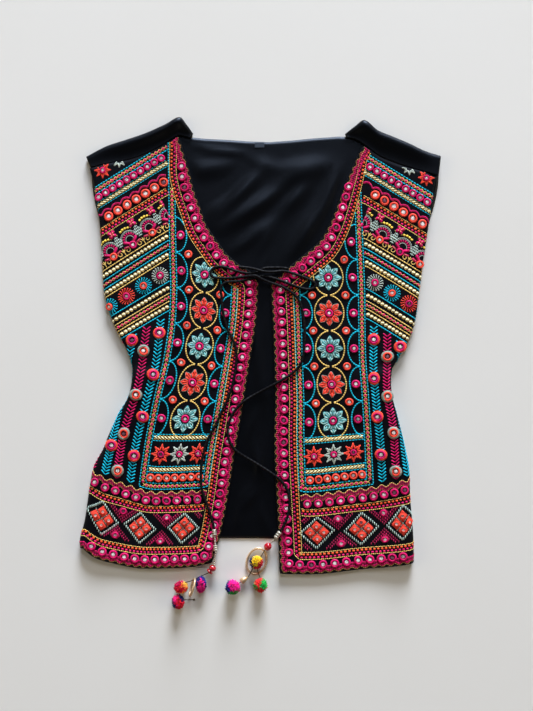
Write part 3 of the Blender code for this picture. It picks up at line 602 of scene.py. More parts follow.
# %% Tubes
def tube(name, path, radius, finish, sides=8, closed=False):
    """A tube along a path, with u the length in metres and v once round it."""
    ahead = np.roll(path, -1, axis=0) - np.roll(path, 1, axis=0) if closed else np.gradient(path, axis=0)
    ahead = unit(ahead)
    radius = np.broadcast_to(radius, len(path))
    sideways = np.cross(ahead, [0.0, 0.0, 1.0])
    sideways /= np.maximum(np.linalg.norm(sideways, axis=1, keepdims=True), 1e-9)
    upwards = np.cross(sideways, ahead)
    angles = np.arange(sides) * 2 * math.pi / sides
    rings = (path[:, None] + radius[:, None, None] * (sideways[:, None] * np.cos(angles)[:, None]
             + upwards[:, None] * np.sin(angles)[:, None]))
    count = len(path)
    faces, uvs = [], []
    length = stations_of(path)
    length = np.append(length, length[-1] + np.linalg.norm(path[0] - path[-1]))
    for i in range(count if closed else count - 1):
        for k in range(sides):
            a, b = i * sides, (i + 1) % count * sides
            faces.append((a + k, a + (k + 1) % sides, b + (k + 1) % sides, b + k))
            u0, u1, v0, v1 = length[i], length[i + 1], k / sides, (k + 1) / sides
            uvs += [(u0, v0), (u0, v1), (u1, v1), (u1, v0)]
    if not closed:
        last = (count - 1) * sides
        faces += [tuple(range(sides))[::-1], tuple(last + k for k in range(sides))]
        uvs += [(0.0, k / sides) for k in range(sides)][::-1]
        uvs += [(length[count - 1], k / sides) for k in range(sides)]
    return mesh_object(name, rings.reshape(-1, 3), faces, finish, uvs)


def mesh_object(name, verts, faces, finish, uvs=None, smooth=True):
    """A finished piece at the origin, its place in its mesh."""
    mesh = bpy.data.meshes.new(name)
    mesh.from_pydata(verts, [], faces)
    if uvs is not None:
        layer = mesh.uv_layers.new(name="along")
        layer.uv.foreach_set("vector", np.asarray(uvs, np.float32).ravel())
    mesh.materials.append(finish)
    if smooth:
        mesh.shade_smooth()
    return show(name, mesh)


def dress(made, slot, *nodes):
    """The piece rides the vest's one body and stands for its nodes; its slot is not used."""
    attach(made, "root")
    if nodes:
        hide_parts(*nodes)
    return made


print("tubes and pieces can be made")

# %% Ties
CORD_TWIST = 0.0022
cord_cotton, cord_tree, cord_shader = finish_of("cord_cotton", 0.55, Specular_IOR_Level=0.14)
twist_ridges_and_painted_shine = twist_height(cord_tree, 1 / CORD_TWIST, wander=0.4)
# The cord's colour is painted: lighter on the twist's ridges as a painted highlight, darker in its grooves as
# painted shade.
feed(cord_tree, cord_shader, {"Base Color": blend(cord_tree, twist_ridges_and_painted_shine, linear("040406"), linear("101016")),
                              "Normal": raised(cord_tree, twist_ridges_and_painted_shine, 0.5, 0.0003)})
for name, route in TIE_ROUTES.items():
    line = resample(tie_path(route), 0.0018)
    dress(tube(name + "_cord", line, CORD / 2 * MM, cord_cotton, 10), "black_cotton", name)
    print(name, "is", round(float(stations_of(line)[-1]), 3), "m long")

# %% [markdown]
# ## Cloth
# A length of cloth is made as a grid of points on its laid form, then given its thickness inwards
# by a Solidify modifier, so that the outer face keeps the cutter's lines. Rows run level up
# to the underarm and then tip towards the slanted shoulder seam.

# %% Cloth shells
def shell(name, grid, wall, finish):
    """A wall of cloth from a grid of outer points in millimetres."""
    rows, columns = grid.shape[:2]
    index = np.arange(rows * columns).reshape(rows, columns)
    faces = np.stack([index[:-1, :-1], index[:-1, 1:], index[1:, 1:], index[1:, :-1]], axis=-1).reshape(-1, 4)
    made = mesh_object(name, (grid.reshape(-1, 3) - MIDDLE) * MM, faces.tolist(), finish)
    thick = made.modifiers.new("wall", "SOLIDIFY")
    thick.thickness = wall * MM
    thick.offset = -1
    thick.use_even_offset = True
    return made


print("cloth can be made")

# %% Grids of the pieces
def front_grid(front, below=112, above=62, flat=58, turn=12, under=5):
    """The same rows and columns as the solid's, several times finer."""
    corner, seam = front.neck[0][0], front.neck[-1][0]
    upper = mix(corner, seam, (np.arange(1, above) / (above - 1)) ** 1.35)
    inner = np.concatenate([np.linspace(0, corner, below), upper])
    share = (front.seam_height - SLANT_FROM) / (seam - SLANT_FROM)
    outer = np.where(inner < SLANT_FROM, inner, SLANT_FROM + (inner - SLANT_FROM) * share)
    bow = np.where(inner < SLANT_FROM, 0.0, (inner - SLANT_FROM) / (seam - SLANT_FROM))
    u = np.arange(flat) / flat
    height = mix(inner[:, None], outer[:, None], mix(u, curve(front.seam_bow, u), bow[:, None]))
    end, radius = front.flat_end(outer)[:, None], front.radius(outer)[:, None]
    across = mix(front.cut(inner)[:, None], end, u)
    stations = np.concatenate([np.linspace(0, 1, turn) * math.pi, math.pi + np.arange(1, under + 1) / under])
    beneath = math.pi * radius + (stations - math.pi) * front.roll(outer)[2][:, None]
    round_it = end + np.where(stations > math.pi, beneath, stations * radius)
    grid = np.concatenate([front.point(across, height), front.point(round_it, outer[:, None])], axis=1)
    return grid if front.out > 0 else grid[:, ::-1]


def back_grid(rows=130, columns=110):
    """Rows from the hem to the neck edge and the shoulders, with a column at each turn of the edge."""
    stations = np.array(BACK_TOP)
    shares = (stations[:, 0] - stations[0, 0]) / (stations[-1, 0] - stations[0, 0])
    u = np.unique(np.concatenate([np.linspace(0, 1, columns), shares]))
    x_top, y_top = np.interp(u, shares, stations[:, 0]), np.interp(u, shares, stations[:, 1])
    v = np.linspace(0, 1, rows)[:, None]
    y = mix(curve(BACK_HEM, mix(-180, 150, u)), y_top - JOINED_GAP, v)
    x = mix(mix(back_edge(LEFT, y), back_edge(RIGHT, y), u), x_top, ease((v - 0.8) / 0.2))
    return np.stack([x, y, back_height(x, y) + BACK_WALL], axis=-1)


def yoke_grid(front, table, columns=64, flat=14, turn=12, under=5):
    """A strip from the yoke seam up to the shoulder fold, round it and down behind."""
    at = np.linspace(0, 1, columns)
    seam_x, seam_y, fold_x, fold_y, high, turned = (
        curve(np.array(table)[:, [0, k]], at)[:, None] for k in range(1, 7))
    seam, fold = np.hstack([seam_x, seam_y]), np.hstack([fold_x, fold_y])
    up = unit(fold - seam)
    seam = seam + up * JOINED_GAP
    radius = high / 2
    ridge = fold - up * radius
    seam_z = mix(YOKE_SEAM_OUTER, YOKE_SEAM_INNER, ease(at / 0.35))[:, None]
    u = np.arange(flat) / flat
    top = mix(seam[:, None], ridge[:, None], u[None, :, None])
    top_z = mix(seam_z, high, ease(u * 0.5 + 0.5 * u * u))
    angle = np.linspace(0, math.pi, turn)
    over = ridge[:, None] + up[:, None] * (radius * np.sin(angle))[..., None]
    over_z = radius + radius * np.cos(angle)
    k = np.arange(1, under + 1) / under
    below = fold[:, None] - up[:, None] * (radius + (turned - radius) * k)[..., None]
    below_z = np.zeros((len(at), under))
    heights = np.concatenate([top_z, over_z, below_z], axis=1)
    grid = np.concatenate([np.concatenate([top, over, below], axis=1), heights[..., None]], axis=2)
    return grid if front.out > 0 else grid[:, ::-1]


print("back", back_grid().shape[:2], "rows and columns")

# %% The five pieces of cloth
cloth = {"back": shell("back_cloth", back_grid(), BACK_WALL, black_cotton)}
for front, table, yoke in ((LEFT, YOKE_LEFT, "yoke_left"), (RIGHT, YOKE_RIGHT, "yoke_right")):
    cloth[front.name] = shell(front.name + "_cloth", front_grid(front), FRONT_WALL, front_cotton)
    cloth[yoke] = shell(yoke + "_cloth", yoke_grid(front, table), YOKE_WALL, black_cotton)
for node, made in cloth.items():
    dress(made, "embroidered_cotton" if node.startswith("front") else "black_cotton", node)
    print(made.name, len(made.data.polygons), "faces")

# %% [markdown]
# ## Beads, caps and threads of the tassels
# A turned shape is a profile spun about a line, as on a lathe: share of the length against share
# of the radius. The profiles are the solids', with more steps round.

# %% Turned pieces
PROFILES = {
    "bead": [(0.0, 0.0), (0.03, 0.3), (0.12, 0.64), (0.28, 0.9), (0.5, 1.0), (0.72, 0.9), (0.88, 0.64),
             (0.97, 0.3), (1.0, 0.0)],
    "disc": [(0.0, 0.0), (0.03, 0.55), (0.12, 0.86), (0.3, 1.0), (0.7, 1.0), (0.88, 0.86), (0.97, 0.55),
             (1.0, 0.0)],
    "pin": [(0.0, 0.0), (0.0, 0.42), (0.4, 0.36), (0.8, 0.42), (0.83, 0.8), (0.9, 1.0), (0.97, 0.8),
            (1.0, 0.0)],
    "bell": [(0.0, 0.0), (0.02, 0.26), (0.2, 0.36), (0.28, 0.7), (0.6, 0.84), (0.86, 1.0), (0.96, 0.9),
             (1.0, 0.0)],
}
BEADS = [  # name, shape, radius, finish, where it starts, where it ends
    ("silver_cap_left", "cap", 2.6, "silver", (-53.2, 51.2, 8.4), (-52.4, 44.2, 8.6)),
    ("bead_link_left", "seeds", 1.15, "silver", (-52.4, 43.9, 8.6), (-51.8, 33.7, 9.2)),
    ("silver_cap_left_low", "cap", 2.6, "silver", (-51.8, 33.4, 9.2), (-51.0, 26.4, 9.8)),
    ("bead_string_left", "seeds", 1.15, "silver", (-51.1, 25.9, 9.8), (-53.2, 9.4, 9.0)),
    ("red_bead_left", "bead", 4.1, "red", (-53.3, 9.0, 8.8), (-56.4, 3.6, 5.2)),
    ("red_disc_left", "disc", 3.9, "red", (-57.1, 3.0, 5.0), (-59.2, 0.9, 4.8)),
    ("eye_pin", "pin", 1.2, "dark", (-90.1, -30.0, 6.7), (-75.2, -30.9, 1.7)),
    ("silver_cap_right", "cap", 2.9, "silver", (22.6, 48.3, 8.6), (17.4, 41.1, 8.1)),
    ("bead_string_right", "seeds", 1.15, "silver", (17.2, 40.8, 8.0), (11.7, 34.9, 5.6)),
    ("red_bead_right", "bead", 4.4, "red", (11.5, 34.6, 5.5), (5.4, 26.9, 4.8)),
    ("bell_right", "bell", 3.6, "gold", (-14.2, -4.0, 4.3), (-22.6, -9.9, 4.6)),
]
SEED_LENGTH, CAP_RIBS = 2.3, 3
print(len(BEADS), "turned pieces planned")

# %% Lathe
BEAD_FINISHES = {"silver": (silver, "silver"), "gold": (pale_gold, "pale_gold"),
                 "dark": (dark_gold, "pale_gold"), "red": (red_glass, "red_glass")}


def profile_of(shape, length):
    """Beads on a string and the ribs of a cap swell and pinch; the rest have a drawn profile."""
    if shape not in ("seeds", "cap"):
        return PROFILES[shape]
    count = round(length / SEED_LENGTH) if shape == "seeds" else CAP_RIBS
    waist = 0.4 if shape == "seeds" else 0.72
    profile = [(0.0, 0.0), (0.0, waist)]
    for k in range(count):
        for step in (0.2, 0.5, 0.8, 1.0):
            profile.append(((k + step) / count, waist + (1 - waist) * math.sin(math.pi * step) ** 0.6))
    return profile + [(1.0, 0.0)]


def lathe(name, profile, radius, start, end, finish, steps=24):
    """A profile spun about the line from start to end, closed at both tips."""
    start, end = np.array(start) - MIDDLE, np.array(end) - MIDDLE
    axis = end - start
    ahead = axis / np.linalg.norm(axis)
    sideways = np.cross(ahead, [0.0, 0.0, 1.0])
    sideways /= np.linalg.norm(sideways)
    upwards = np.cross(sideways, ahead)
    angles = np.arange(steps) * 2 * math.pi / steps
    verts, faces, uvs = [start * MM], [], []
    length = float(np.linalg.norm(axis)) * MM
    for along, share in profile[1:-1]:
        for a in angles:
            spot = start + axis * along + (sideways * math.cos(a) + upwards * math.sin(a)) * radius * share
            verts.append(spot * MM)
    verts.append(end * MM)
    rings, tip = len(profile) - 2, len(verts) - 1
    for k in range(steps):
        j = (k + 1) % steps
        faces.append((0, 1 + j, 1 + k))
        uvs += [(0.0, k / steps)] * 3
        for i in range(rings - 1):
            a, b = 1 + i * steps, 1 + (i + 1) * steps
            u0, u1 = profile[i + 1][0] * length, profile[i + 2][0] * length
            faces.append((a + k, a + j, b + j, b + k))
            uvs += [(u0, k / steps), (u0, (k + 1) / steps), (u1, (k + 1) / steps), (u1, k / steps)]
        faces.append((1 + (rings - 1) * steps + k, 1 + (rings - 1) * steps + j, tip))
        uvs += [(length, k / steps)] * 3
    return mesh_object(name, verts, faces, finish, uvs)


def hang_on(made, node, slot):
    """A piece of a tassel, dressed in place of its node."""
    dress(made, slot, node)


for name, shape, radius, finish, start, end in BEADS:
    metal, slot = BEAD_FINISHES[finish]
    profile = profile_of(shape, math.dist(start, end))
    hang_on(lathe(name + "_turned", profile, radius, start, end, metal, 10 if radius < 2 else 24), name, slot)

# %% [markdown]
# ## Tassel threads
# A strong black thread leaves the end of each tie, runs through the caps and beads and ends in
# the last pompom, and on the right a second one branches off to the green pompom. They
# are cords of their own, because the ties end at their caps.

# %% Tassel threads
TASSEL_THREADS = {  # the nodes it stands for, the pieces strung on it, and its route
    "tassel_thread_left": (
        ("thread_left", "thread_ring"),
        ("bead_string_left", "red_bead_left", "red_disc_left", "pompom_pink_left", "ring_left",
         "pompom_coral_left", "eye_pin", "pompom_red_left"),
        [(-53.3, 51.5, 8.4), (-52.4, 44.2, 8.6), (-51.8, 33.7, 9.2), (-51.0, 26.4, 9.8), (-52.2, 17.6, 9.4),
         (-53.2, 9.4, 9.0), (-56.4, 3.6, 5.4), (-59.4, 0.8, 4.8), (-64.4, -1.3, 6.3), (-69.1, -3.3, 7.7),
         (-79.0, -7.8, 8.6), (-87.6, -10.4, 9.5), (-90.8, -15.0, 8.6), (-93.0, -24.0, 8.6),
         (-94.2, -32.0, 8.6)]),
    "tassel_thread_right": (
        ("thread_right", "thread_bell", "thread_pink"),
        ("bead_string_right", "red_bead_right", "ring_right", "pompom_navy_right", "bell_right",
         "pompom_pink_right"),
        [(22.8, 48.6, 8.6), (17.4, 41.1, 8.1), (11.7, 34.8, 5.6), (5.2, 26.7, 4.8), (0.7, 19.8, 6.2),
         (-4.0, 13.4, 5.6), (-7.5, 8.1, 4.6), (-14.1, -3.8, 4.4), (-22.6, -9.9, 4.6), (-28.2, -13.8, 4.8),
         (-31.6, -15.4, 7.0)]),
    "tassel_thread_green": (
        ("thread_green",), ("pompom_green_right",),
        [(0.7, 19.8, 6.2), (-1.6, 13.4, 6.4), (-3.8, 7.6, 4.8), (-2.6, 0.6, 4.6), (0.1, -6.1, 4.7),
         (-0.2, -12.6, 7.4)]),
}
THREAD = 0.9
thread_lines = {}
for name, (nodes, strung, route) in TASSEL_THREADS.items():
    thread_lines[name] = resample((np.array(route) - MIDDLE) * MM, 0.0012)
    made = tube(name, thread_lines[name], THREAD / 2 * MM, cord_cotton, 6)
    dress(made, "black_cotton", *nodes)
print(len(TASSEL_THREADS), "tassel threads")

# %% [markdown]
# ## The two rings
# Each ring is gold wire bound in a fine twist. The wire is a closed tube on an oval, tipped as
# the ring rests on the table and the pompom.

# %% Rings
RING_TUBE = 1.3
RINGS = {  # x, y, z, half length, half width, turn, tip
    "ring_left": (-78.2, -15.5, 8.7, 10.0, 7.2, 16, 78),
    "ring_right": (-4.4, 13.7, 2.2, 15.0, 11.0, 20, 0),
}
bound_gold = old_metal("bound_gold", linear("f6dab8"), linear("c09a70"))


def oval(x, y, z, half_length, half_width, turn, tip, count=96):
    """Points round a ring that is turned on the table and tipped off it."""
    turn, tip = math.radians(turn), math.radians(tip)
    long_way = np.array([math.sin(turn), math.cos(turn), 0.0])
    across = np.array([long_way[1] * math.cos(tip), -long_way[0] * math.cos(tip), math.sin(tip)])
    a = np.arange(count)[:, None] * 2 * math.pi / count
    return np.array([x, y, z]) + long_way * half_length * np.cos(a) + across * half_width * np.sin(a)


for name, row in RINGS.items():
    line = (oval(*row) - MIDDLE) * MM
    bound = RING_TUBE * MM * (1 + 0.1 * np.cos(np.arange(len(line)) * math.pi))
    hang_on(tube(name + "_wire", line, bound, bound_gold, 10, closed=True), name, "pale_gold")
print("rings made")

# %% [markdown]
# ## One tree that lays thread
# A stitch, a strand of yarn and a ring of thread are all the same job: a small template is
# put on a point, turned along the thread with its back to the cloth, and stretched to size. The
# points carry `along`, `up`, `size` and `tint`, which come from the plan. The
# tree is built once, and every thread on the vest goes through it.

# %% Thread tree
def thread_tree():
    """Geometry Nodes that put one template on every point and paint the result."""
    tree = bpy.data.node_groups.new("lay thread", "GeometryNodeTree")
    for label, kind, way in (("Points", "Geometry", "INPUT"), ("Template", "Object", "INPUT"),
                             ("Fullness", "Float", "INPUT"), ("Finish", "Material", "INPUT"),
                             ("Threads", "Geometry", "OUTPUT")):
        tree.interface.new_socket(name=label, in_out=way, socket_type="NodeSocket" + kind)
    given = wire(tree, "NodeGroupInput").outputs
    along, up, size = (
        wire(tree, "GeometryNodeInputNamedAttribute", {"Name": label}, data_type="FLOAT_VECTOR").outputs[0]
        for label in ("along", "up", "size"))
    turn = wire(tree, "FunctionNodeAxesToRotation", {"Primary Axis": along, "Secondary Axis": up},
                primary_axis="X", secondary_axis="Z")
    full = wire(tree, "ShaderNodeCombineXYZ", {"X": 1.0, "Y": given["Fullness"], "Z": given["Fullness"]})
    grown = wire(tree, "ShaderNodeVectorMath", {0: size, 1: full.outputs[0]}, operation="MULTIPLY")
    shape = wire(tree, "GeometryNodeObjectInfo", {"Object": given["Template"]})
    placed = wire(tree, "GeometryNodeInstanceOnPoints",
                  {"Points": given["Points"], "Instance": shape.outputs["Geometry"],
                   "Rotation": turn.outputs["Rotation"], "Scale": grown.outputs[0]})
    real = wire(tree, "GeometryNodeRealizeInstances", {"Geometry": placed.outputs["Instances"]})
    painted = wire(tree, "GeometryNodeSetMaterial", {"Geometry": real.outputs["Geometry"],
                                                     "Material": given["Finish"]})
    wire(tree, "NodeGroupOutput", {"Threads": painted.outputs["Geometry"]})
    return tree


lay_thread = thread_tree()
sockets = {item.name: item.identifier for item in lay_thread.interface.items_tree if item.in_out == "INPUT"}
print("thread tree inputs", list(sockets))

# %% Lay threads and keep them
def threads(name, spots, along, up, size, tint, template, finish, fullness=1.0):
    """Lay a template on every spot (metres) and keep the result as one plain mesh."""
    mesh = bpy.data.meshes.new(name)
    mesh.vertices.add(len(spots))
    mesh.vertices.foreach_set("co", np.asarray(spots, np.float32).ravel())
    for label, values in (("along", along), ("up", up), ("size", size)):
        field = mesh.attributes.new(label, "FLOAT_VECTOR", "POINT")
        field.data.foreach_set("vector", np.asarray(values, np.float32).ravel())
    colour = mesh.attributes.new("tint", "FLOAT_COLOR", "POINT")
    opaque = np.concatenate([tint, np.ones((len(tint), 1))], axis=1)
    colour.data.foreach_set("color", opaque.astype(np.float32).ravel())
    made = show(name, mesh)
    layer = made.modifiers.new("lay thread", "NODES")
    layer.node_group = lay_thread
    layer[sockets["Template"]] = template
    layer[sockets["Fullness"]] = fullness
    layer[sockets["Finish"]] = finish
    depsgraph = bpy.context.evaluated_depsgraph_get()
    plain = bpy.data.meshes.new_from_object(made.evaluated_get(depsgraph), depsgraph=depsgraph)
    made.modifiers.clear()
    made.data = plain
    bpy.data.meshes.remove(mesh)
    plain.name = name
    for label in ("along", "up", "size"):
        if label in plain.attributes:
            plain.attributes.remove(plain.attributes[label])
    plain.shade_smooth()
    return made


print("finished threads are plain meshes")

# %% Templates
def template(name, rings, uv_along):
    """A closed low shape along x: rings of (x, y, z) corners between two pointed ends."""
    bm = bmesh.new()
    layer = bm.loops.layers.uv.new("along")
    loops = [[bm.verts.new(corner) for corner in ring] for ring in rings]
    for i, (a, b) in enumerate(zip(loops, loops[1:])):
        count = max(len(a), len(b))
        for k in range(count):
            j = (k + 1) % count
            corners = [a[k % len(a)], a[j % len(a)], b[j % len(b)], b[k % len(b)]]
            spots = [(uv_along[i], k / count), (uv_along[i], (k + 1) / count),
                     (uv_along[i + 1], (k + 1) / count), (uv_along[i + 1], k / count)]
            kept = [n for n, corner in enumerate(corners) if corner not in corners[:n]]
            face = bm.faces.new([corners[n] for n in kept])
            for loop, n in zip(face.loops, kept):
                loop[layer].uv = spots[n]
    bmesh.ops.recalc_face_normals(bm, faces=bm.faces)
    mesh = bpy.data.meshes.new(name)
    bm.to_mesh(mesh)
    bm.free()
    return bpy.data.objects.new(name, mesh)


strand_shape = template("yarn strand", [
    [(0.0, 0.0, 0.0)],
    [(0.12, 0.32, -0.2), (0.12, -0.32, -0.2), (0.12, 0.0, 0.36)],
    [(0.8, 0.5, -0.3), (0.8, -0.5, -0.3), (0.8, 0.0, 0.56)],
    [(1.0, 0.0, 0.0)]], [0.0, 0.12, 0.8, 1.0])
print(strand_shape.name, "has", len(strand_shape.data.polygons), "faces")

# %% [markdown]
# ## Pompoms
# A pompom is a tied bundle of yarn, cut round. Several hundred short strands stand on a
# small ball, a little uneven in length and lean. Each ball is dyed in a few patches, so a strand
# takes the colour of the patch that it points to. Yarn and embroidery thread take up their dye
# unevenly in the same way, so that is one group.

# %% Dyed thread
dyed, dyed_in, dyed_out = shader_group(
    "uneven dye",
    [("Place", "Vector", None), ("Dye", "Color", None), ("Patches", "Float", 420.0)],
    [("Colour", "Color")])
uneven = wire(dyed, "ShaderNodeTexNoise", {"Vector": dyed_in["Place"], "Scale": dyed_in["Patches"],
                                           "Detail": 2.0})
depth = wire(dyed, "ShaderNodeMapRange", {"Value": uneven.outputs["Fac"], "From Min": 0.3, "From Max": 0.7,
                                          "To Min": 0.8, "To Max": 1.3})
taken_up = wire(dyed, "ShaderNodeVectorMath", {0: dyed_in["Dye"], "Scale": depth.outputs[0]},
                operation="SCALE")
feed(dyed, dyed_out, {"Colour": taken_up.outputs["Vector"]})


def tint_of(tree):
    """The colour that each stitch, ring or strand carries; on a mirror, its painted reflection."""
    return wire(tree, "ShaderNodeAttribute", attribute_name="tint",
                attribute_type="GEOMETRY").outputs["Color"]


def tinted(name, roughness, sheen, relief, turns, girth=1.0):
    """Dyed thread or yarn: its own tint, unevenly taken up, and a slanting twist."""
    made, tree, shader = finish_of(name, roughness, Sheen_Weight=sheen, Sheen_Roughness=0.35,
                                   Specular_IOR_Level=0.2)
    colour = wire(tree, "ShaderNodeGroup", {"Place": own_place(tree), "Dye": tint_of(tree)},
                  node_tree=dyed).outputs["Colour"]
    feed(tree, shader, {"Base Color": colour,
                        "Normal": raised(tree, twist_height(tree, turns, girth), relief, 0.00025)})
    return made


yarn = tinted("yarn", 0.85, 0.2, 0.4, 6.0)
print(yarn.name, "has", len(yarn.node_tree.nodes), "nodes")

# %% Pompoms
STRANDS, POMPOM_LIFT, STRAND_GIRTH = 520, 0.5, 1.25
POMPOMS = {  # x, y, half width, half length, then patches: direction and colour
    "pompom_pink_left": (-68.4, -12.2, 6.8, 10.6, [
        ((0.2, 0.1, 1), "ff1e96"), ((0.1, -0.9, 0.4), "f51c90"), ((-1, 0.4, 0.1), "1c1c6c"),
        ((1, 0.7, 0.1), "20207a")]),
    "pompom_coral_left": (-90.8, -15.0, 9.0, 8.0, [
        ((0.2, -0.3, 1), "fc2240"), ((-0.6, -0.4, 0.5), "f01e44"), ((-0.5, 0.9, 0.2), "c0124e"),
        ((0.7, 0.6, 0.4), "f0b848"), ((0.1, -1, 0), "f4b040")]),
    "pompom_red_left": (-94.2, -32.0, 8.0, 9.4, [
        ((0.4, -0.1, 1), "f81e3c"), ((0.5, -0.8, 0.4), "e0183a"), ((-0.6, 0.5, 0.6), "f42484"),
        ((-1, -0.3, 0), "1c1c70"), ((0.7, 0.9, 0.1), "1a1a5c")]),
    "pompom_navy_right": (-4.4, 13.7, 8.4, 8.4, [
        ((-0.3, 0.3, 1), "fcd428"), ((0.8, -0.5, 0.5), "d41c34"), ((-1, 0.1, 0), "1c2070"),
        ((0.1, 1, 0.2), "f8c824")]),
    "pompom_pink_right": (-31.6, -15.4, 9.4, 9.4, [
        ((0.2, 0.4, 1), "ff22a0"), ((0.9, 0.2, 0.2), "f81e98"), ((-1, -0.3, 0.1), "1c2478"),
        ((0.1, -1, 0.2), "2cb44c")]),
    "pompom_green_right": (-0.2, -12.6, 8.8, 8.8, [
        ((-0.5, 0.7, 0.6), "fc3a40"), ((0.7, 0.2, 0.6), "2cb850"), ((0.2, -1, 0.3), "ec2834"),
        ((-1, -0.1, 0), "34a84c")]),
}

for name, (x, y, half_width, half_length, patches) in POMPOMS.items():
    chance = np.random.default_rng(sum(map(ord, name)))
    half_height = min(half_width, half_length)
    k = np.arange(STRANDS) + 0.5
    lift = 1 - 2 * k / STRANDS
    swing = k * math.pi * (1 + 5 ** 0.5)
    level = np.sqrt(1 - lift ** 2)
    out = np.stack([level * np.cos(swing), level * np.sin(swing), lift], axis=1)
    out = unit(out + chance.normal(0, 0.09, out.shape))
    half = np.array([half_width, half_length, half_height])
    centre = np.array([x, y, half_height + POMPOM_LIFT]) - MIDDLE
    tufts = 0.5 + 0.5 * np.sin(out @ chance.normal(0, 4.2, (3, 5))).mean(axis=1, keepdims=True)
    tips = out * half * (0.8 + 0.28 * tufts + chance.normal(0, 0.05, (STRANDS, 1)))
    roots = tips * 0.25
    ways = unit(np.array([way for way, _ in patches], float))
    nearest = np.argmax(out @ ways.T + chance.normal(0, 0.16, (STRANDS, len(ways))), axis=1)
    dyes = np.array([linear(code) for _, code in patches])[nearest]
    dyes = dyes * chance.uniform(0.72, 1.15, (STRANDS, 1))
    lengths = np.linalg.norm(tips - roots, axis=1)
    size = np.stack([lengths, *[np.full(STRANDS, STRAND_GIRTH)] * 2], axis=1) * MM
    lean = np.cross(out, chance.normal(0, 1, out.shape))
    ball = threads(name + "_yarn", (centre + roots) * MM, out * half, lean, size, dyes, strand_shape, yarn)
    hang_on(ball, name, "pink_yarn")
print(len(POMPOMS), "pompoms of", STRANDS, "strands")

# %% [markdown]
# ## Size label
# A tab of plain woven tape lies on the inside of the back neck, turned under at both ends.

# %% Label
LABEL_X, LABEL_Y, LABEL_HALF_LENGTH, LABEL_HALF_WIDTH, LABEL_WALL = -1, 493.4, 5.5, 3.0, 0.35
u, v = np.meshgrid(np.linspace(-1, 1, 23), np.linspace(-1, 1, 13))
tape = surface(u * 0 + LABEL_X, v * 0 + LABEL_Y) + SEAM_GAP + 0.5 - 0.12 * np.abs(u) ** 6 - 0.06 * v ** 4
grid = np.stack([LABEL_X + LABEL_HALF_LENGTH * u, LABEL_Y + LABEL_HALF_WIDTH * v, tape], axis=-1)
label = dress(shell("size_label_tape", grid, LABEL_WALL, label_tape), "label_grey", "size_label")
print(label.name, "is", len(label.data.polygons), "faces")

# %% [markdown]
# ## The stitching plan
# The embroidery is planned like a sampler: on the flat cloth, in s and t, one stitch at a time.
# A `Track` is a line that a row of stitches follows; u runs along it and v across it, so
# the same row works on the straight hem, round the neck and on a slanted band. A
# `Sampler` keeps every stitch with its width, height and dye until it is laid on the front.

# %% Tracks
def even_line(points, spacing=1.0):
    points = np.asarray(points, float)
    at = stations_of(points)
    finer = np.linspace(0, at[-1], max(3, int(at[-1] / spacing)))
    return np.stack([np.interp(finer, at, points[:, k]) for k in (0, 1)], axis=1)


class Track:
    """A line on the flat cloth: u along it, v to its right, both in millimetres."""

    def __init__(self, points):
        self.points = even_line(points)
        self.at = stations_of(self.points)
        self.length = self.at[-1]
        self.ahead = unit(np.gradient(self.points, axis=0))

    def place(self, u, v):
        u, v = np.broadcast_arrays(np.asarray(u, float), np.asarray(v, float))
        s, t, a, b = (np.interp(u, self.at, column) for column in (*self.points.T, *self.ahead.T))
        return pairs(s + v * b, t - v * a)


ROLL_RISE = 0.35  # a rolled neck edge also moves this share up


def cut_line(front):
    """The cut edge of a front: along the hem, up the opening and round the neck."""
    t = np.linspace(0, front.neck[-1][0], 700)
    hem = np.linspace(front.flat_end(0.0) + 2.4 * front.radius(0.0), 0, 300)[:-1]
    line = even_line(np.concatenate([pairs(hem, 0.0), pairs(front.cut(t), t)]))
    padded = np.pad(line, ((3, 3), (0, 0)), mode="edge")
    return np.stack([np.convolve(padded[:, k], np.ones(7) / 7, "valid") for k in (0, 1)], axis=1)


def worked_line(front):
    """The line that the mirrors and bands follow: near the shoulder the neck edge rolls under."""
    line = cut_line(front)
    rolled = curve(front.edge_roll, line[:, 1])
    return pairs(line[:, 0] - rolled, line[:, 1] + rolled * ROLL_RISE)


print("tracks ready")

# %% Distance from the cut edge
def inset_of(line, points, chunk=4000):
    """How far points on the cloth are from the cut edge."""
    points = points.reshape(-1, 2)
    parts = [np.linalg.norm(points[i:i + chunk, None] - line[None], axis=2).min(axis=1)
             for i in range(0, len(points), chunk)]
    return np.concatenate(parts) if parts else np.zeros(0)


def inset_track(line, inset):
    """The line that keeps one distance from the cut edge; it turns its corners sharply."""
    ahead = unit(np.gradient(line, axis=0))
    moved = line + inset * pairs(ahead[:, 1], -ahead[:, 0])
    return Track(moved[inset_of(line, moved) > inset - 0.25])


def seam_at(front, s):
    """The t of the yoke seam at s."""
    inner = front.neck[-1][0]
    start, end = front.cut(inner), front.flat_end(front.seam_height)
    u = np.clip((s - start) / (end - start), 0, 1)
    return mix(inner, front.seam_height, curve(front.seam_bow, u))


cut_lines = {front.name: cut_line(front) for front in FRONTS}
for front in FRONTS:
    print(front.name, "edge to be bordered:", round(Track(cut_lines[front.name]).length), "mm")

# %% [markdown]
# ## The sampler
# `sew` takes the two ends of each stitch. Rings of thread and the mirrors that they hold are kept
# apart from the straight stitches, because they use other templates. Nothing is sewn outside the
# cloth, over the yoke seam or on the face that is turned under.

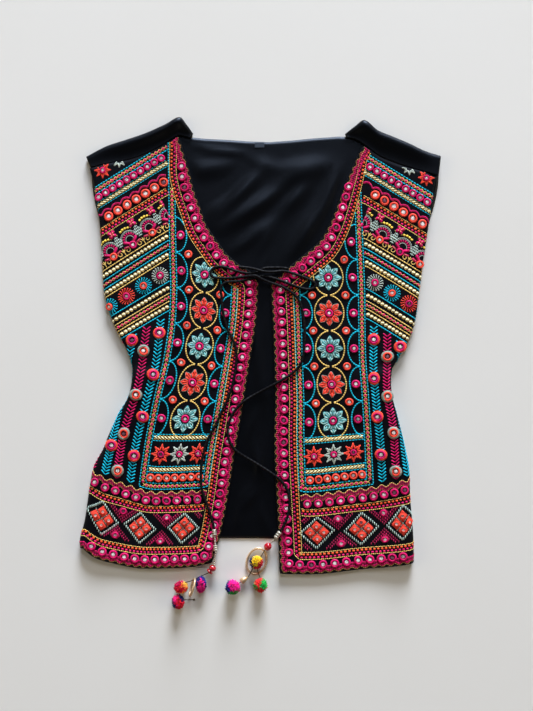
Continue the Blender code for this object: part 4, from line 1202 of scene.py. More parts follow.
# %% Sampler
DYES = {name: np.array(linear(code)) for name, code in {
    "magenta": "ce0a60", "rose": "a61248", "wine": "6c0c30", "coral": "f44c3a", "orange": "f25e2e",
    "teal": "08b8d6", "deep_teal": "2a8c94", "pale_teal": "74b8bc", "mint": "c8e4dc", "silver_grey": "b4bfb6",
    "dull_silver": "8e9a90", "gold": "f2cc72", "old_gold": "ac8448", "cream": "f4e8b4", "pearl": "ece4bc",
    "yellow": "f2cc50"}.items()}
BORDER_WIDTH, SIDE_START, YOKE_CLEARANCE = 24.2, 104.6, 1.2
PAST_CUT, PAST_SIDE = 0.72, 0.4  # shares of a ring's half width that must lie on the cloth
CLIMB_FROM, CLIMB_REACH = 130.0, 160.0
SAG_FROM, SAG_REACH, SAG_END = 30.0, 65.0, 110.0


class Sampler:
    """The stitches of one front, in three areas that become three pieces."""

    def __init__(self, front):
        self.front = front
        self.line = cut_lines[front.name]
        self.worked = worked_line(front)
        self.area = "border"
        self.stitches = {"border": [], "centre": [], "side": []}
        self.rings = []
        self.glass = []

    def settle(self, spots):
        """Where the rows of this front lie: they sag above the hem and climb to the side higher up."""
        s, t = np.asarray(spots, float).reshape(-1, 2).T
        moved = curve(self.front.sag, s) * ease((t - SAG_FROM) / SAG_REACH)
        moved = moved * (1 - ease((t - SAG_END) / self.front.sag_fade))
        if self.area != "border":
            moved = moved + curve(self.front.climb, s) * ease((t - CLIMB_FROM) / CLIMB_REACH)
        return pairs(s, t + moved)

    def sew(self, a, b, width, height, dye, lift=0.0):
        a, b = np.broadcast_arrays(np.asarray(a, float), np.asarray(b, float))
        a, b = self.settle(a), self.settle(b)
        dye = np.broadcast_to(DYES[dye] if isinstance(dye, str) else dye, (len(a), 3))
        sizes = np.broadcast_to(np.array([width, height, lift], float), (len(a), 3))
        self.stitches[self.area].append(np.concatenate([a, b, sizes, dye], axis=1))

    def sew_on(self, track, start, end, width, height, dye, lift=0.0):
        """Stitches between two places of a track, each a pair of u and v."""
        self.sew(track.place(*start), track.place(*end), width, height, dye, lift)

    def ring(self, spots, size, dye, lift=0.0):
        self.rings.append(np.concatenate([spots, np.tile([size, lift, *DYES[dye]], (len(spots), 1))], axis=1))

    def mirror(self, spots, size, lift=0.0):
        self.glass.append(np.concatenate([spots, np.tile([size, lift], (len(spots), 1))], axis=1))

    def room_for(self, spots, size):
        """Those spots where a ring of this size lies whole on the shown cloth, off the other bands."""
        s, t = spots.T
        half = size / 2
        keep = self.on_cloth(s, t, self.area == "border") & (s > self.front.cut(t) + PAST_CUT * half)
        keep &= s + half * PAST_SIDE < self.front.flat_end(t) + 1.1 * self.front.radius(t)
        if self.area != "border":
            keep &= inset_of(self.worked, spots) > BORDER_WIDTH + half * 0.9
        if self.area == "side":
            keep &= s - half > SIDE_START - 1.2
        return spots[keep]

    def on_cloth(self, s, t, border, around=2.2):
        """Which places are on the cloth and, away from the border, inside its frame."""
        inset = inset_of(self.worked, pairs(s, t))
        inside = (s > self.front.cut(t) - 0.4) & (t < seam_at(self.front, s) - YOKE_CLEARANCE) & (t > -0.5)
        shown = s < self.front.flat_end(t) + around * self.front.radius(t)
        return inside & shown & (border | (inset > BORDER_WIDTH))


print(len(DYES), "dyes on the chart")

# %% [markdown]
# ## Rows of stitches
# Each function is one kind of row that an embroiderer would name: running and chain rows, wavy
# chain, crosses, satin squares, a rope braid, padded pearls and feathered stems.

# %% Rows
def row(work, track, v, dye, stitch=3.0, width=0.9, height=0.6, gap=0.1, wave=0.0, period=10.0, start=0.0,
        end=None):
    """Running stitches end to end, straight or waving."""
    end = track.length if end is None else end
    u = np.linspace(start, end, max(2, int((end - start) / stitch) + 1))
    line = track.place(u, v + wave * np.cos(2 * math.pi * u / period))
    a, b = line[:-1], line[1:]
    work.sew(a + (b - a) * gap, b - (b - a) * gap * 0.3, width, height, dye)


def crosses(work, track, pitch=4.9, half=2.2, width=0.62, trim=(0.0, 0.0)):
    """Crossed gold stitches with a pink dot in each gap."""
    u = np.arange(0.5 + trim[0], track.length - pitch - trim[1], pitch)
    work.sew_on(track, (u, -half), (u + pitch, half), width, 0.6, "gold", 0.1)
    work.sew_on(track, (u, half), (u + pitch, -half), width, 0.6, "gold", 0.2)
    work.sew_on(track, (u - 1.6, 0.0), (u + 1.6, 0.0), 2.9, 0.95, "magenta", 0.25)


def squares(work, track, v, dye, pitch=4.4, size=2.7, width=2.5, phase=0.0):
    u = np.arange(phase, track.length, pitch)
    work.sew_on(track, (u - size / 2, v), (u + size / 2, v), width, 0.75, dye)


def double_band(work, track, v, up=1.0):
    """Two rows of staggered squares between two zigzag lines of gold."""
    for at, dye, phase in ((-1.75 * up, "magenta", 0.0), (1.55 * up, "orange", 2.2)):
        squares(work, track, v + at, dye, phase=phase)
    for at in (-3.9, 3.9):
        row(work, track, v + at, "gold", stitch=2.2, width=0.85, wave=0.35, period=4.4)


def cross_band(work, track, middle=(0.0, 0.0), left=(0.0, 0.0), right=(0.0, 0.0)):
    """Crosses between two dashed lines; each row can stop short at its ends for a corner."""
    crosses(work, track, trim=middle)
    for v, (first, last) in ((-3.5, left), (3.5, right)):
        row(work, track, v, "teal", stitch=3.3, width=1.35, gap=0.14, start=first, end=track.length - last)


print("bands ready")

# %% Braid, pearls, stems and jewels
def braid(work, track, v, lines="teal", edge=3.4):
    """A rope of slanted cream stitches, shaded with gold, between two dashed lines."""
    u = np.arange(0, track.length - 3, 3.9)
    work.sew_on(track, (u, v + 1.5), (u + 3.9, v - 1.3), 1.7, 0.95, "cream", 0.1)
    work.sew_on(track, (u + 0.2, v - 1.5), (u + 2.2, v - 1.9), 0.9, 0.7, "gold")
    work.sew_on(track, (u + 2.4, v + 1.0), (u + 4.0, v + 1.9), 1.0, 0.7, "old_gold")
    work.sew_on(track, (u + 1.9, v + 1.6), (u + 3.4, v + 1.9), 0.8, 0.7, "gold", 0.1)
    for side in (-edge, edge):
        row(work, track, v + side, lines, stitch=3.2, width=0.95, gap=0.14)


def pearls(work, track, v):
    """Padded cream stitches like a row of pearls, with a gold tie between each two."""
    u = np.arange(1, track.length - 3, 4.7)
    work.sew_on(track, (u, v + 0.8), (u + 4.0, v - 0.8), 3.0, 1.2, "pearl", 0.1)
    work.sew_on(track, (u + 3.6, v + 1.6), (u + 4.9, v - 1.4), 0.6, 0.8, "old_gold", 0.2)
    for side in (-1.75, 1.75):
        work.sew_on(track, (u + 0.5, v + side), (u + 3.3, v + side), 0.6, 0.6, "gold")


def feather(work, stem, low, high, dye, reach=4.6, pitch=3.9):
    """A stem of paired leaves that open upwards."""
    t = np.arange(low, high, pitch)
    root, left, right = (pairs(curve(stem, t) + x, t + y) for x, y in ((0, 0), (-reach, 3.9), (reach, 3.9)))
    work.sew(root, left, 1.45, 0.9, dye)
    work.sew(root, right, 1.45, 0.9, dye)


def jewel(work, spots, dye="magenta", size=10.0, glass=4.7, outer=None, lift=0.0):
    """A mirror held by a ring of thread, with a second ring round it on a medallion."""
    spots = work.room_for(work.settle(spots), size)
    if outer:
        work.ring(spots, size, outer)
        size, lift = size * 0.8, 0.35
    work.ring(spots, size, dye, lift)
    work.mirror(spots, glass * 1.14, lift + 0.2)


print("rows ready")

# %% [markdown]
# ## Flowers, stars and pinwheels
# The flowers have eight petals, each worked from its vein outwards and then outlined; the stars
# have eight narrow rays; the pinwheels are slanted strokes round a mirror. They are traditional
# shapes, drawn here by rule from a centre and a radius.

# %% Flowers
def polar(centre, radius, angle):
    radius, angle = np.broadcast_arrays(np.asarray(radius, float), np.asarray(angle, float))
    return np.asarray(centre) + pairs(radius * np.cos(angle), radius * np.sin(angle))


def rays(work, centre, ways, start, end, width, height, dye, lift=0.0):
    """A stitch at each way; its start and end are a distance from the centre and a turn off the way."""
    work.sew(*(polar(centre, far, ways + turn) for far, turn in (start, end)), width, height, dye, lift)


EIGHT_WAYS = np.arange(8) * math.pi / 4 + math.pi / 2
PETAL_SIDE = (  # start, end, width, height, dye, lift: a broad leaf, its tip, its light edge and its outline
    ((0.36, 0.2), (0.76, 0.24), 2.3, 0.95, "fill", 0.0),
    ((0.74, 0.27), (0.95, 0.04), 1.3, 0.8, "light", 0.0),
    ((0.44, 0.26), (0.74, 0.29), 0.85, 0.85, "light", 0.25),
    ((0.42, 0.37), (0.72, 0.345), 0.6, 0.8, "outline", 0.0),
    ((0.74, 0.35), (1.04, 0.03), 0.6, 0.7, "outline", 0.0))


def flower(work, centre, fill, light, outline, radius=14.4):
    """Eight petals: two broad leaves and a pointed tip each, a dark vein and a fine outline."""
    rays(work, centre, EIGHT_WAYS, (radius * 0.6, 0), (radius * 1.02, 0), 2.5, 0.9, fill, 0.1)
    rays(work, centre, EIGHT_WAYS, (radius * 0.36, 0), (radius * 0.7, 0), 1.9, 0.7, fill)
    for side in (-1, 1):
        for (near, a), (far, b), width, height, dye, lift in PETAL_SIDE:
            dye = {"fill": fill, "light": light, "outline": outline}[dye]
            rays(work, centre, EIGHT_WAYS, (radius * near, side * a), (radius * far, side * b),
                 width, height, dye, lift)
    rays(work, centre, EIGHT_WAYS, (radius * 0.44, 0), (radius * 0.66, 0), 0.75, 0.7, DYES[fill] * 0.3, 0.35)
    jewel(work, centre, "magenta", 9.8, 3.8)


def star(work, centre, dye, radius=11.4):
    for side in (-1, 1):
        rays(work, centre, EIGHT_WAYS, (radius * 0.34, side * 0.34), (radius, side * 0.01), 1.35, 0.85, dye)
        rays(work, centre, EIGHT_WAYS, (radius * 0.4, side * 0.4), (radius * 0.72, side * 0.2),
             1.1, 0.75, dye)
    jewel(work, centre, "magenta", 7.6, 3.6)


def pinwheel(work, centre, dye, core, radius=9.6):
    ways = np.arange(18) * math.pi / 9
    rays(work, centre, ways, (radius * 0.46, 0), (radius * 1.02, 0.36), 0.95, 0.8, dye)
    rays(work, centre, ways, (radius * 0.86, 0.4), (radius * 1.02, 0.22), 0.8, 0.7, dye)
    jewel(work, centre, core, 8.8, 4.0)


def oval_track(centre, half_s, half_t, start=0.0, end=2 * math.pi, count=80):
    a = np.linspace(start, end, count)
    return Track(pairs(centre[0] + half_s * np.cos(a), centre[1] + half_t * np.sin(a)))


print("flowers ready")

# %% [markdown]
# ## The border
# One border runs along the hem, up the opening and round the neck: wavy chain in two pinks with a
# thin gold outline, a row of mirrors, and a double band of squares between gold lines.
# A second band with the same parts crosses the front above the diamonds.

# %% Border and hem band
def stitch_border(work):
    work.area = "border"
    near = inset_track(work.line, 5.0)
    for v, wave, dye, width in (
            (-2.1, 1.35, "rose", 1.55), (-0.8, 1.2, "magenta", 1.3), (0.5, 1.0, "wine", 1.5),
            (1.8, 0.7, "rose", 1.4), (3.0, 0.3, "magenta", 1.5)):
        row(work, near, v, dye, stitch=2.3, width=width, height=0.85, gap=0.04, wave=wave, period=9.4)
    row(work, near, -3.3, "old_gold", stitch=2.2, width=0.6, wave=1.4, period=9.4)
    middle = inset_track(work.worked, 9.8)
    u = np.arange(6.2, middle.length, 12.4)
    jewel(work, middle.place(u, 0.0), "magenta", 10.6, 4.6)
    double_band(work, inset_track(work.worked, 19.8), 0.0)


def level(start, end, t):
    return Track([(start, t), (end, t)])


def stitch_hem_band(work):
    """The part between the lower and the upper double band, with its diamonds."""
    work.area = "border"
    far = float(work.front.flat_end(46.0) + 2.5 * work.front.radius(46.0))
    double_band(work, level(25.4, far, 70.0), 0.0, up=-1.0)
    spots = np.arange(work.front.hem_mirrors, far, 11.8)
    jewel(work, pairs(spots, 80.6), "magenta", 10.2, 4.6)
    wavy = level(25.4, far, 88.0)
    for v, dye in ((1.8, "rose"), (0.3, "wine"), (-1.2, "rose")):
        row(work, wavy, v, dye, stitch=2.2, width=1.4, height=0.85, gap=0.04, wave=1.9, period=11.6)
    for v, dye in ((-2.5, "gold"), (3.1, "old_gold"), (1.05, "magenta")):
        row(work, wavy, v, dye, stitch=2.2, width=0.75, wave=1.9, period=11.6)
    for centre in work.front.diamonds:
        stitch_diamond(work, *centre)
    for centre in work.front.wedges:
        stitch_wedge(work, *centre)


print("bands at the hem ready")

# %% Diamonds and wedges
def stepped(work, a, b, dye, pitch=2.5, size=3.4, width=1.25):
    """Short upright stitches that climb like stairs from a to b."""
    a, b = np.asarray(a, float), np.asarray(b, float)
    count = max(2, int(np.linalg.norm(b - a) / pitch))
    middle = a + (b - a) * ((np.arange(count) + 0.5) / count)[:, None]
    half = np.array([0.35 * np.sign(b[0] - a[0]), 0.5 * np.sign(b[1] - a[1])]) * size
    dyes = np.where((np.arange(count) % 3 == 0)[:, None], DYES[dye] * 0.72, DYES[dye])
    work.sew(middle - half, middle + half * np.array([-1, 1]), width, 0.75, dyes)


def satin_diamond(work, centre, half, dye, low=-9.0, high=9.0):
    """A filled diamond: level satin stitches, longest in the middle."""
    y = np.arange(-half + 0.7, half, 1.25)
    y = y[(y >= low) & (y <= high)]
    reach = np.maximum(half - np.abs(y), 0.6)
    cx, cy = centre
    a = pairs(cx - reach, cy + y)
    work.sew(a, a + pairs(2 * reach, 0.0), 1.45, 0.85, dye)


def stitch_diamond(work, s, t, reach=18.0):
    """Four satin diamonds, each with a mirror, in a stepped frame."""
    corners = [(s + reach, t), (s, t + reach), (s - reach, t), (s, t - reach)]
    for a, b in zip(corners, corners[1:] + corners[:1]):
        stepped(work, a, b, "mint", pitch=2.8)
    for x, y in ((0, 7.3), (7.3, 0), (0, -7.3), (-7.3, 0)):
        satin_diamond(work, (s + x, t + y), 6.4, "coral")
        jewel(work, [(s + x, t + y)], "coral", 6.4, 4.0, lift=0.35)
    for way in (1, -1):
        line = Track([(s - 8, t - 8 * way), (s + 8, t + 8 * way)])
        row(work, line, 0.0, "silver_grey", width=0.5, height=0.5)


def stitch_wedge(work, s, t):
    """A pink stepped triangle above or below two diamonds, or half of one at the border."""
    whole, way = s > BORDER_WIDTH, -1 if t > 45 else 1
    if whole:
        satin_diamond(work, (s, t), 6.4, "rose", *((-9.0, 4.0) if way < 0 else (-4.0, 9.0)))
        jewel(work, [(s, t)], "magenta", 7.8, 4.0)
    for reach, dye in ((9.0, "magenta"), (12.8, "rose")):
        for side in (-1, 1) if whole else (1,):
            start = np.array([s, t + way * reach])
            end = np.array([s + side * (reach + 4.6), t - way * 4.6])
            if not whole:
                start = start + (end - start) * 0.55
            stepped(work, start, end, dye, pitch=2.7, size=2.9, width=1.15)


print("diamonds ready")

# %% [markdown]
# ## The centre panel
# Inside a frame of crossed gold and teal dashes come a row of coral mirrors, three stars between
# two braids, and a column of flowers in linked gold ovals with teal arcs on both sides.

# %% Centre panel
PITCH = 40.9
FLOWER_S, TOP_FLOWER = 63.5, 335.5


def stitch_centre(work):
    work.area = "centre"
    top = work.front.neck[-1][0]
    cross_band(work, Track([(28.2, 94.5), (28.2, top)]), (6.2, 0.0), (0.0, 0.0), (7.0, 0.0))
    cross_band(work, Track([(100, 94.5), (100, top)]), (6.2, 0.0), (7.0, 0.0), (0.0, 0.0))
    cross_band(work, level(24.7, 103.5, 98.0), (1.4, 0.6), (7.0, 7.0))
    jewel(work, pairs(np.linspace(36.6, 92.0, 7), 107.6), "coral", 9.8, 4.0)
    braid(work, level(32.4, 96.0, 117.2), 0.0)
    for s, dye in ((42.0, "coral"), (63.0, "silver_grey"), (84.0, "coral")):
        star(work, (s, 134.0), dye)
    braid(work, level(32.4, 96.0, 151.6), 0.0)
    for k in range(5):
        t = TOP_FLOWER - PITCH * k
        if k % 2:
            flower(work, (FLOWER_S, t), "coral", "coral", "dull_silver")
        else:
            flower(work, (FLOWER_S, t), "pale_teal", "mint", "deep_teal")
        for way in (1, -1):
            half_ring = oval_track((FLOWER_S, t), 16.4 * way, PITCH / 2 - 0.2, 0.09 - math.pi / 2,
                                   math.pi / 2 - 0.09)
            row(work, half_ring, 0.0, "gold", stitch=2.6, width=1.5, height=0.85, gap=0.02)
    for k in range(-1, 5):
        t = TOP_FLOWER - PITCH * k
        for base, way in ((32.0, 1), (96.2, -1))[k < 0:]:
            arc = oval_track((base, t), 12.6 * way, PITCH / 2 - 0.4, -math.pi / 2, math.pi / 2, 40)
            row(work, arc, 0.0, "teal", stitch=2.6, width=1.6, height=0.85, gap=0.02)
            jewel(work, [(base + 5.6 * way, t)], "magenta", 10.2, 4.2)
        if k < 4:
            for side in (-18.5, 18.5):
                jewel(work, [(FLOWER_S + side, t - PITCH / 2)], "coral", 9.6, 4.2)


print("centre ready")

# %% [markdown]
# ## The side panel
# Above the hem three feathered stems carry medallions. Over them slanted bands climb to the
# shoulder: pearls, crosses, pinwheels, a lace-like band of arches with small flowers, scalloped
# coral mirrors and braid. All of them fall 0.58 mm for each millimetre towards the side.

# %% Stems and medallions
FALL = 0.58


def slant(work, start):
    """The track of a slanted band whose height at s = 100 is `start`."""
    far = work.front.flat_end(start - 40) + 30
    return Track([(SIDE_START, start - FALL * (SIDE_START - BAND_AT)), (far, start - FALL * (far - BAND_AT))])


STEMS = (  # the stem's s at each height, its dye, then its medallions: heights, outer and inner ring
    ([(95, 114), (130, 113.9), (174, 112), (219, 111.4), (263, 113.4), (290, 113.4)], "teal",
     (263, 218, 172.4, 127), "coral", "magenta"),
    ([(95, 129.8), (110, 129.6), (153, 129.2), (197, 125), (244, 128.4), (290, 128.4)], "magenta",
     (244, 196, 150.6, 104), "dull_silver", "coral"),
    ([(95, 143), (133, 140.6), (174, 141), (214, 143.2), (290, 143.2)], "teal", (256, 214, 174, 133), "coral",
     "magenta"),
    ([(95, 158), (290, 158)], "magenta", (150, 112), "dull_silver", "coral"),
    ([(95, 172.6), (290, 172.6)], "teal", (), "coral", "coral"))


def stitch_stems(work):
    for stem, dye, heights, outer, inner in STEMS:
        feather(work, stem, 95.0, 285.0 - FALL * (stem[-1][1] - 100), dye)
        heights = np.array(heights, float)
        jewel(work, pairs(curve(stem, heights), heights), inner, 14.6, 4.4, outer=outer)


print(len(STEMS), "stems")

# %% [markdown]
# ## The lace-like band
# Arches with a fan of pink alternate with grey lattice diamonds. Yellow bars sit over each arch
# and leaves with a mirror under it; a small flower stands over each diamond and two gold curls
# under it. Every piece is placed by its u along the band and v across it.

# %% Lace band
LACE_PITCH, ARCH_AT, LATTICE_AT = 25.8, 26.4, 13.5


def stitch_arch(work, track, u, ring):
    angle, fan = np.linspace(0, math.pi, 15), np.linspace(0.12, math.pi - 0.12, 9)
    for radius, width in ((10.4, 0.8), (9.2, 0.6), (4.6, 0.8)):
        arc = track.place(u + radius * np.cos(angle), 1.6 - radius * 1.05 * np.sin(angle))
        work.sew(arc[:-1], arc[1:], width, 0.7, "silver_grey")
    work.sew_on(track, (u + 5.4 * np.cos(fan), 1.6 - 5.7 * np.sin(fan)),
                (u + 8.7 * np.cos(fan), 1.6 - 9.1 * np.sin(fan)), 1.7, 0.9, "magenta")
    for x, rise in ((-4.8, 0.9), (-1.6, 0.0), (1.6, 0.0), (4.8, 0.9)):
        work.sew_on(track, (u + x - 1.4, rise - 12.6), (u + x + 1.4, rise - 12.6), 2.7, 1.1, "yellow")
    for side in (-1, 1):
        work.sew_on(track, (u + side * 2.4, 5.6), (u + side * 8.6, 0.6), 3.5, 1.0, "magenta")
        work.sew_on(track, (u + side * 4.6, 8.4), (u + side * 11.0, 7.0), 2.9, 0.95, "rose")
    jewel(work, track.place(u, 8.2), ring, 9.4, 4.0)


def stitch_lattice(work, track, u):
    for x in np.arange(-3.9, 4.0, 1.95):
        reach = 7.6 - 1.3 * abs(x)
        work.sew_on(track, (u + x, -2.6 - reach), (u + x, -2.6 + reach), 0.8, 0.6, "silver_grey")
        reach, v = 5.2 - 0.75 * abs(x), -2.6 + x * 1.5
        work.sew_on(track, (u - reach, v), (u + reach, v), 0.8, 0.6, "mint", 0.1)
    for angle in np.array([0.25, 0.75, 1.25, 1.75]) * math.pi:
        middle, tip = (track.place(u + 1.4 + far * math.cos(angle), -14.4 + far * math.sin(angle))
                       for far in (0, 5.2))
        work.sew(middle, tip, 3.9, 1.1, "magenta")
        work.sew(mix(middle, tip, 0.2), mix(middle, tip, 0.5), 0.8, 0.9, "gold", 0.55)
        work.sew(mix(middle, tip, 1.02), mix(middle, tip, 1.2), 2.2, 0.7, "old_gold")
    turn = np.linspace(0, 2.4 * math.pi, 13)
    size = 4.3 - turn * 0.44
    for side in (-1, 1):
        curl = track.place(u + side * (4.9 - size * np.cos(turn)), 10.6 - size * np.sin(turn))
        work.sew(curl[:-1], curl[1:], 1.0, 0.8, "gold")
    work.sew_on(track, (u, 6.6), (u, 15.0), 0.9, 0.7, "gold")


def stitch_lace(work, start):
    track = slant(work, start)
    for k in range(-1, 5):
        stitch_arch(work, track, ARCH_AT + LACE_PITCH * k, ("coral", "magenta")[k % 2])
        stitch_lattice(work, track, LATTICE_AT + LACE_PITCH * k)


print("lace repeats every", LACE_PITCH, "mm")

# %% Side panel
PINWHEELS = (("silver_grey", "magenta"), ("teal", "coral"), ("coral", "magenta"), ("teal", "coral"))
CORAL_START, CORAL_PITCH = 5.8, 12.2


def stitch_side(work):
    work.area = "side"
    stitch_stems(work)
    for start, dye in ((290.4, "teal"), (301.4, "gold"), (310.7, "gold"), (324.5, "teal"), (350.8, "gold"),
                       (361, "teal"), (371.2, "teal"), (382.8, "gold")):
        row(work, slant(work, start), 0.0, dye, stitch=2.7, width=1.25, height=0.8, gap=0.02)
    for start in (295.9, 317.6, 355.9, 377.0):
        pearls(work, slant(work, start), 0.0)
    for start in (306.1, 366.1):
        crosses(work, slant(work, start), pitch=4.6, half=1.7, width=0.55)
    wheels = slant(work, 340.2)
    for k, (dye, core) in enumerate(PINWHEELS):
        pinwheel(work, wheels.place(14.2 + 22.2 * k, 2.6), dye, core)
    stitch_lace(work, 400.9)
    double_band(work, slant(work, 428.0), 0.0, up=-1.0)
    coral = slant(work, 441.5)
    jewel(work, coral.place(np.arange(CORAL_START, coral.length, CORAL_PITCH), 0.6), "coral", 11.2, 5.2)
    u = np.arange(0.0, coral.length, 1.22)
    scallop = coral.place(u, -3.6 - 3.9 * np.abs(np.cos(math.pi * (u - CORAL_START) / CORAL_PITCH)) ** 0.8)
    for lift in (0.0, 1.1):
        line = scallop + np.array([0.0, lift])
        work.sew(line[:-1], line[1:], 1.5, 0.85, "magenta" if lift else "rose")
    braid(work, slant(work, 460.6), 0.0)
    mirrors = slant(work, 470.0)
    u = np.arange(work.front.shoulder_mirrors, mirrors.length, 9.25)
    jewel(work, mirrors.place(u, 0.0), "magenta", 9.4, 4.3)
    cross_band(work, slant(work, 479.4))
    star(work, (179.0, 452.0), "coral", 9.6)
    star(work, (160.0, 462.5), "silver_grey", 8.6)


samplers = {}
for front in FRONTS:
    work = Sampler(front)
    stitch_border(work)
    stitch_hem_band(work)
    stitch_centre(work)
    stitch_side(work)
    samplers[front.name] = work
    print(front.name, {area: sum(map(len, parts)) for area, parts in work.stitches.items()}, "stitches")

# %% [markdown]
# ## Thread, rings and mirrors
# A stitch is a low closed lens that dips into the cloth at both ends. A ring is a flat-bottomed
# loop of the same thread, whose strands run across it, and a mirror is a shallow lens of
# glass whose colour is a painted reflection. Their dye varies a little from stitch to stitch, as hand-dyed
# cotton does.

# %% Stitch templates
stitch_shape = template("stitch", [
    [(-0.5, 0.0, -0.12)],
    [(-0.34, -0.5, -0.05), (-0.34, 0.0, -0.3), (-0.34, 0.5, -0.05), (-0.34, 0.0, 0.5)],
    [(0.34, -0.5, -0.05), (0.34, 0.0, -0.3), (0.34, 0.5, -0.05), (0.34, 0.0, 0.5)],
    [(0.5, 0.0, -0.12)]], [0.0, 0.16, 0.84, 1.0])


def loop_template(name, count=14):
    """A closed ring of four-cornered section, u round the ring."""
    section = ((0.27, 0.02), (0.3, 0.26), (0.45, 0.2), (0.5, -0.08))
    angles = np.arange(count) * 2 * math.pi / count
    verts = [(r * math.cos(a), r * math.sin(a), z) for a in angles for r, z in section]
    faces, uvs = [], []
    for i in range(count):
        for k in range(4):
            a, b = i * 4, (i + 1) % count * 4
            faces.append((a + k, b + k, b + (k + 1) % 4, a + (k + 1) % 4))
            u0, u1, v0, v1 = i / count, (i + 1) / count, k / 4, (k + 1) / 4
            uvs += [(u0, v0), (u1, v0), (u1, v1), (u0, v1)]
    mesh = bpy.data.meshes.new(name)
    mesh.from_pydata(verts, [], faces)
    mesh.uv_layers.new(name="along").uv.foreach_set("vector", np.array(uvs, np.float32).ravel())
    return bpy.data.objects.new(name, mesh)


loop_shape = loop_template("thread loop")
glass_rim = [(0.5 * math.cos(a), 0.5 * math.sin(a), 0.0) for a in np.arange(10) * math.pi / 5]
mirror_shape = template("mirror", [
    [(0.0, 0.0, -0.1)], [(x, y, 0.0) for x, y, _ in glass_rim],
    [(x * 0.7, y * 0.7, 0.1) for x, y, _ in glass_rim], [(0.0, 0.0, 0.12)]], [0.0, 0.3, 0.7, 1.0])
silk = tinted("embroidery_thread", 0.5, 0.04, 0.6, 3.0, girth=2.0)
ring_silk = tinted("ring_thread", 0.48, 0.04, 0.8, 30.0)
# A mirror's colour is a painted reflection: white with grey patches, times each mirror's own painted
# brightness, on glass that is barely metallic.
mirror_glass, mirror_tree, mirror_shader = finish_of("mirror_glass", 0.14, Metallic=0.04)
smudged_reflection_noise = wire(mirror_tree, "ShaderNodeTexNoise",
              {"Vector": own_place(mirror_tree), "Scale": 700.0, "Detail": 2.0})
painted_reflection_ramp = wire(mirror_tree, "ShaderNodeValToRGB", {"Fac": smudged_reflection_noise.outputs["Fac"]})
for end, at, tone in ((0, 0.34, (0.42, 0.4, 0.43, 1)), (1, 0.44, (1.0, 1.0, 1.0, 1))):
    painted_reflection_ramp.color_ramp.elements[end].position, painted_reflection_ramp.color_ramp.elements[end].color = at, tone
painted_mirror_reflection = wire(mirror_tree, "ShaderNodeVectorMath",
                {0: painted_reflection_ramp.outputs["Color"], 1: tint_of(mirror_tree)}, operation="MULTIPLY")
feed(mirror_tree, mirror_shader, {"Base Color": painted_mirror_reflection.outputs["Vector"]})
print("templates:", stitch_shape.name, loop_shape.name, mirror_shape.name)

# %% [markdown]
# ## Laying the stitches
# Each planned stitch is put on the laid cloth: its middle and its outward direction come from the
# front's own form, so the thread bends round the side with the cloth.

# %% Lay the stitches
# Painted reflections of the mirrors: most bright white, some dull grey, a few dark and pinkish.
PAINTED_REFLECTION_LEVELS = [(1.0, 1.0, 1.0), (0.56, 0.5, 0.53), (0.2, 0.1, 0.14)]  # bright, dull, dark and pinkish
stitched = {front.name: [] for front in FRONTS}


def lay_area(work, area, chance):
    """The straight stitches of one area, bent over the cloth."""
    front = work.front
    plan = np.concatenate(work.stitches[area])
    s, t = (plan[:, 0] + plan[:, 2]) / 2, (plan[:, 1] + plan[:, 3]) / 2
    keep = work.on_cloth(s, t, area == "border")
    plan, s, t = plan[keep], s[keep], t[keep]
    start, end = front.point(plan[:, 0], plan[:, 1]), front.point(plan[:, 2], plan[:, 3])
    up = front.normal(s, t)
    spots = front.point(s, t) + up * (plan[:, 6:7] + 0.05)
    size = np.stack([np.linalg.norm(end - start, axis=1) * 1.08, plan[:, 4], plan[:, 5]], axis=1)
    size[:, 1:] *= chance.uniform(0.88, 1.12, (len(size), 1))
    tint = plan[:, 7:10] * chance.uniform(0.84, 1.12, (len(plan), 1))
    return threads(f"{front.name}_{area}", (spots - MIDDLE) * MM, end - start, up, size * MM, tint,
                   stitch_shape, silk)


def lay_round(work, rows, shape, finish, name, chance, tilt):
    """Rings or mirrors: rows of s, t, size, lift, then the dye."""
    front = work.front
    rows = np.concatenate(rows)
    s, t, size, lift = rows[:, 0], rows[:, 1], rows[:, 2], rows[:, 3]
    up = front.normal(s, t)
    spots = front.point(s, t) + up * (lift[:, None] + 0.3)
    up = up + chance.normal(0, tilt, up.shape)
    along = np.cross(up, chance.normal(0, 1, up.shape))
    ovalness = chance.uniform(0.93, 1.07, len(s))
    height = np.full(len(s), 5.6 if shape == loop_shape else 4.0)
    scale = np.stack([size * ovalness, size / ovalness, height], axis=1)
    if shape == loop_shape:
        tint = rows[:, 4:7] * chance.uniform(0.88, 1.1, (len(rows), 1))
    else:
        # a mirror carries its painted reflection in place of a dye
        tint = np.array(PAINTED_REFLECTION_LEVELS)[chance.choice(3, len(rows), p=[0.78, 0.12, 0.1])]
    return threads(f"{front.name}_{name}", (spots - MIDDLE) * MM, along, up, scale * MM, tint, shape, finish)


for front in FRONTS:
    work = samplers[front.name]
    chance = np.random.default_rng(7 if front is LEFT else 11)
    pieces = [lay_area(work, area, chance) for area in ("border", "centre", "side")]
    pieces.append(lay_round(work, work.rings, loop_shape, ring_silk, "rings", chance, 0.02))
    pieces.append(lay_round(work, work.glass, mirror_shape, mirror_glass, "mirrors", chance, 0.05))
    for made in pieces:
        stitched[front.name].append(dress(made, "embroidered_cotton"))
        made.data.calc_loop_triangles()
        print(made.name, len(made.data.loop_triangles), "triangles")

# %% [markdown]
# ## Piping
# The raw edge of each front is bound in a narrow roll of the same black cotton, which shows
# outside the stitched scallops.

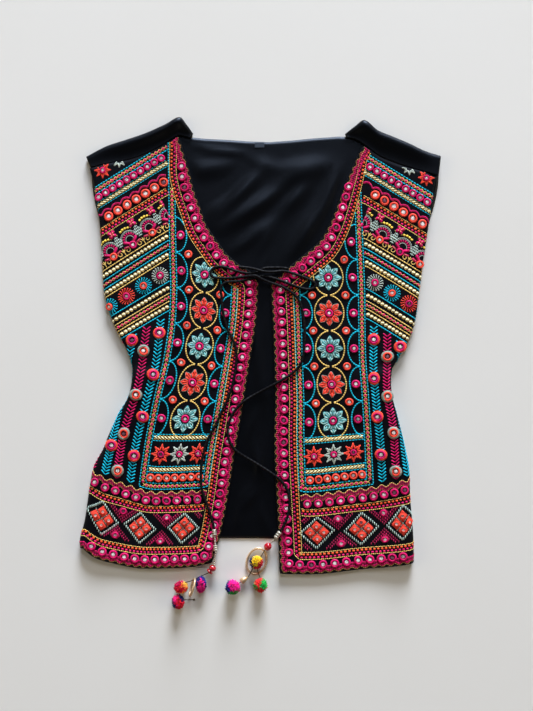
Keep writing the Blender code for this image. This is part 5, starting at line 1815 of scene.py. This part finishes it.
# %% Piping
PIPING_RADIUS = 1.15
for front in FRONTS:
    edge = cut_lines[front.name]
    edge = edge[edge[:, 1] < seam_at(front, edge[:, 0]) - 1.5]
    spots = front.point(np.maximum(edge[:, 0], front.cut(edge[:, 1])) + 0.5, np.maximum(edge[:, 1], 0.4))
    spots[:, 2] -= FRONT_WALL * 0.55
    piping = tube(front.name + "_piping", (spots[::2] - MIDDLE) * MM, PIPING_RADIUS * MM, cord_cotton)
    stitched[front.name].append(dress(piping, "black_cotton"))
print("piping sewn")

# Both ties are free cords that end in their tassels' caps, and the five pieces of cloth are
# sheets that lie on the table or on each other.


# %% [markdown]
# ## Floor and light
# The table is a pale grey board. A wide window beyond the shoulders throws soft shadows towards
# the hem, a higher one helps it, and pale warm walls on the other sides fill the shadows. Nothing
# shines straight down, so flat black cloth stays black and only its folds catch the light.

# %% Floor and light
floor_finish, floor_tree, floor_shader = finish_of("floor", 0.7)
mottle = wire(floor_tree, "ShaderNodeTexNoise",
              {"Vector": own_place(floor_tree), "Scale": 3.0, "Detail": 4.0}).outputs["Fac"]
feed(floor_tree, floor_shader, {"Base Color": blend(floor_tree, mottle, linear("e2e0dd"), linear("e8e7e6"))})
FLOOR_REACH, FLOOR_LEVEL = 3, -0.0004
corners = [(x * FLOOR_REACH, y * FLOOR_REACH, FLOOR_LEVEL) for x, y in ((-1, -1), (1, -1), (1, 1), (-1, 1))]
floor = mesh_object("floor", corners, [(0, 1, 2, 3)], floor_finish, smooth=False)

world = bpy.data.worlds.new("studio")
world.use_nodes = True
feed(world.node_tree, world.node_tree.nodes["Background"], {"Color": (1.0, 0.94, 0.86, 1), "Strength": 0.04})
bpy.context.scene.world = world
bpy.context.scene.view_settings.view_transform = "Standard"


def soft_light(name, place, size, share, tone):
    """A round light aimed at the vest; `share` is how much of the table's brightness it gives."""
    distance = math.dist(place, (0, 0, 0))
    data = bpy.data.lights.new(name, "AREA")
    data.shape, data.size, data.color = "DISK", size, tone
    data.energy = share * math.pi ** 2 * distance ** 3 / place[2]
    lamp = show(name, data)
    lamp.location = place
    lamp.rotation_euler = (-Vector(place)).to_track_quat("-Z", "Y").to_euler()
    print(name, round(data.energy), "W")


COOL, WARM = (0.85, 0.912, 1.0), (1.0, 0.83, 0.55)
soft_light("window", (1.0, 9.0, 2.9), 4.2, 0.65, COOL)
soft_light("upper_window", (0.4, 3.0, 4.4), 2.0, 0.16, COOL)
soft_light("left_wall", (-5.0, 0.3, 2.6), 3.0, 0.095, WARM)
soft_light("right_wall", (5.0, 0.3, 2.6), 3.0, 0.095, WARM)
soft_light("near_wall", (0.0, -5.0, 3.2), 3.0, 0.03, WARM)
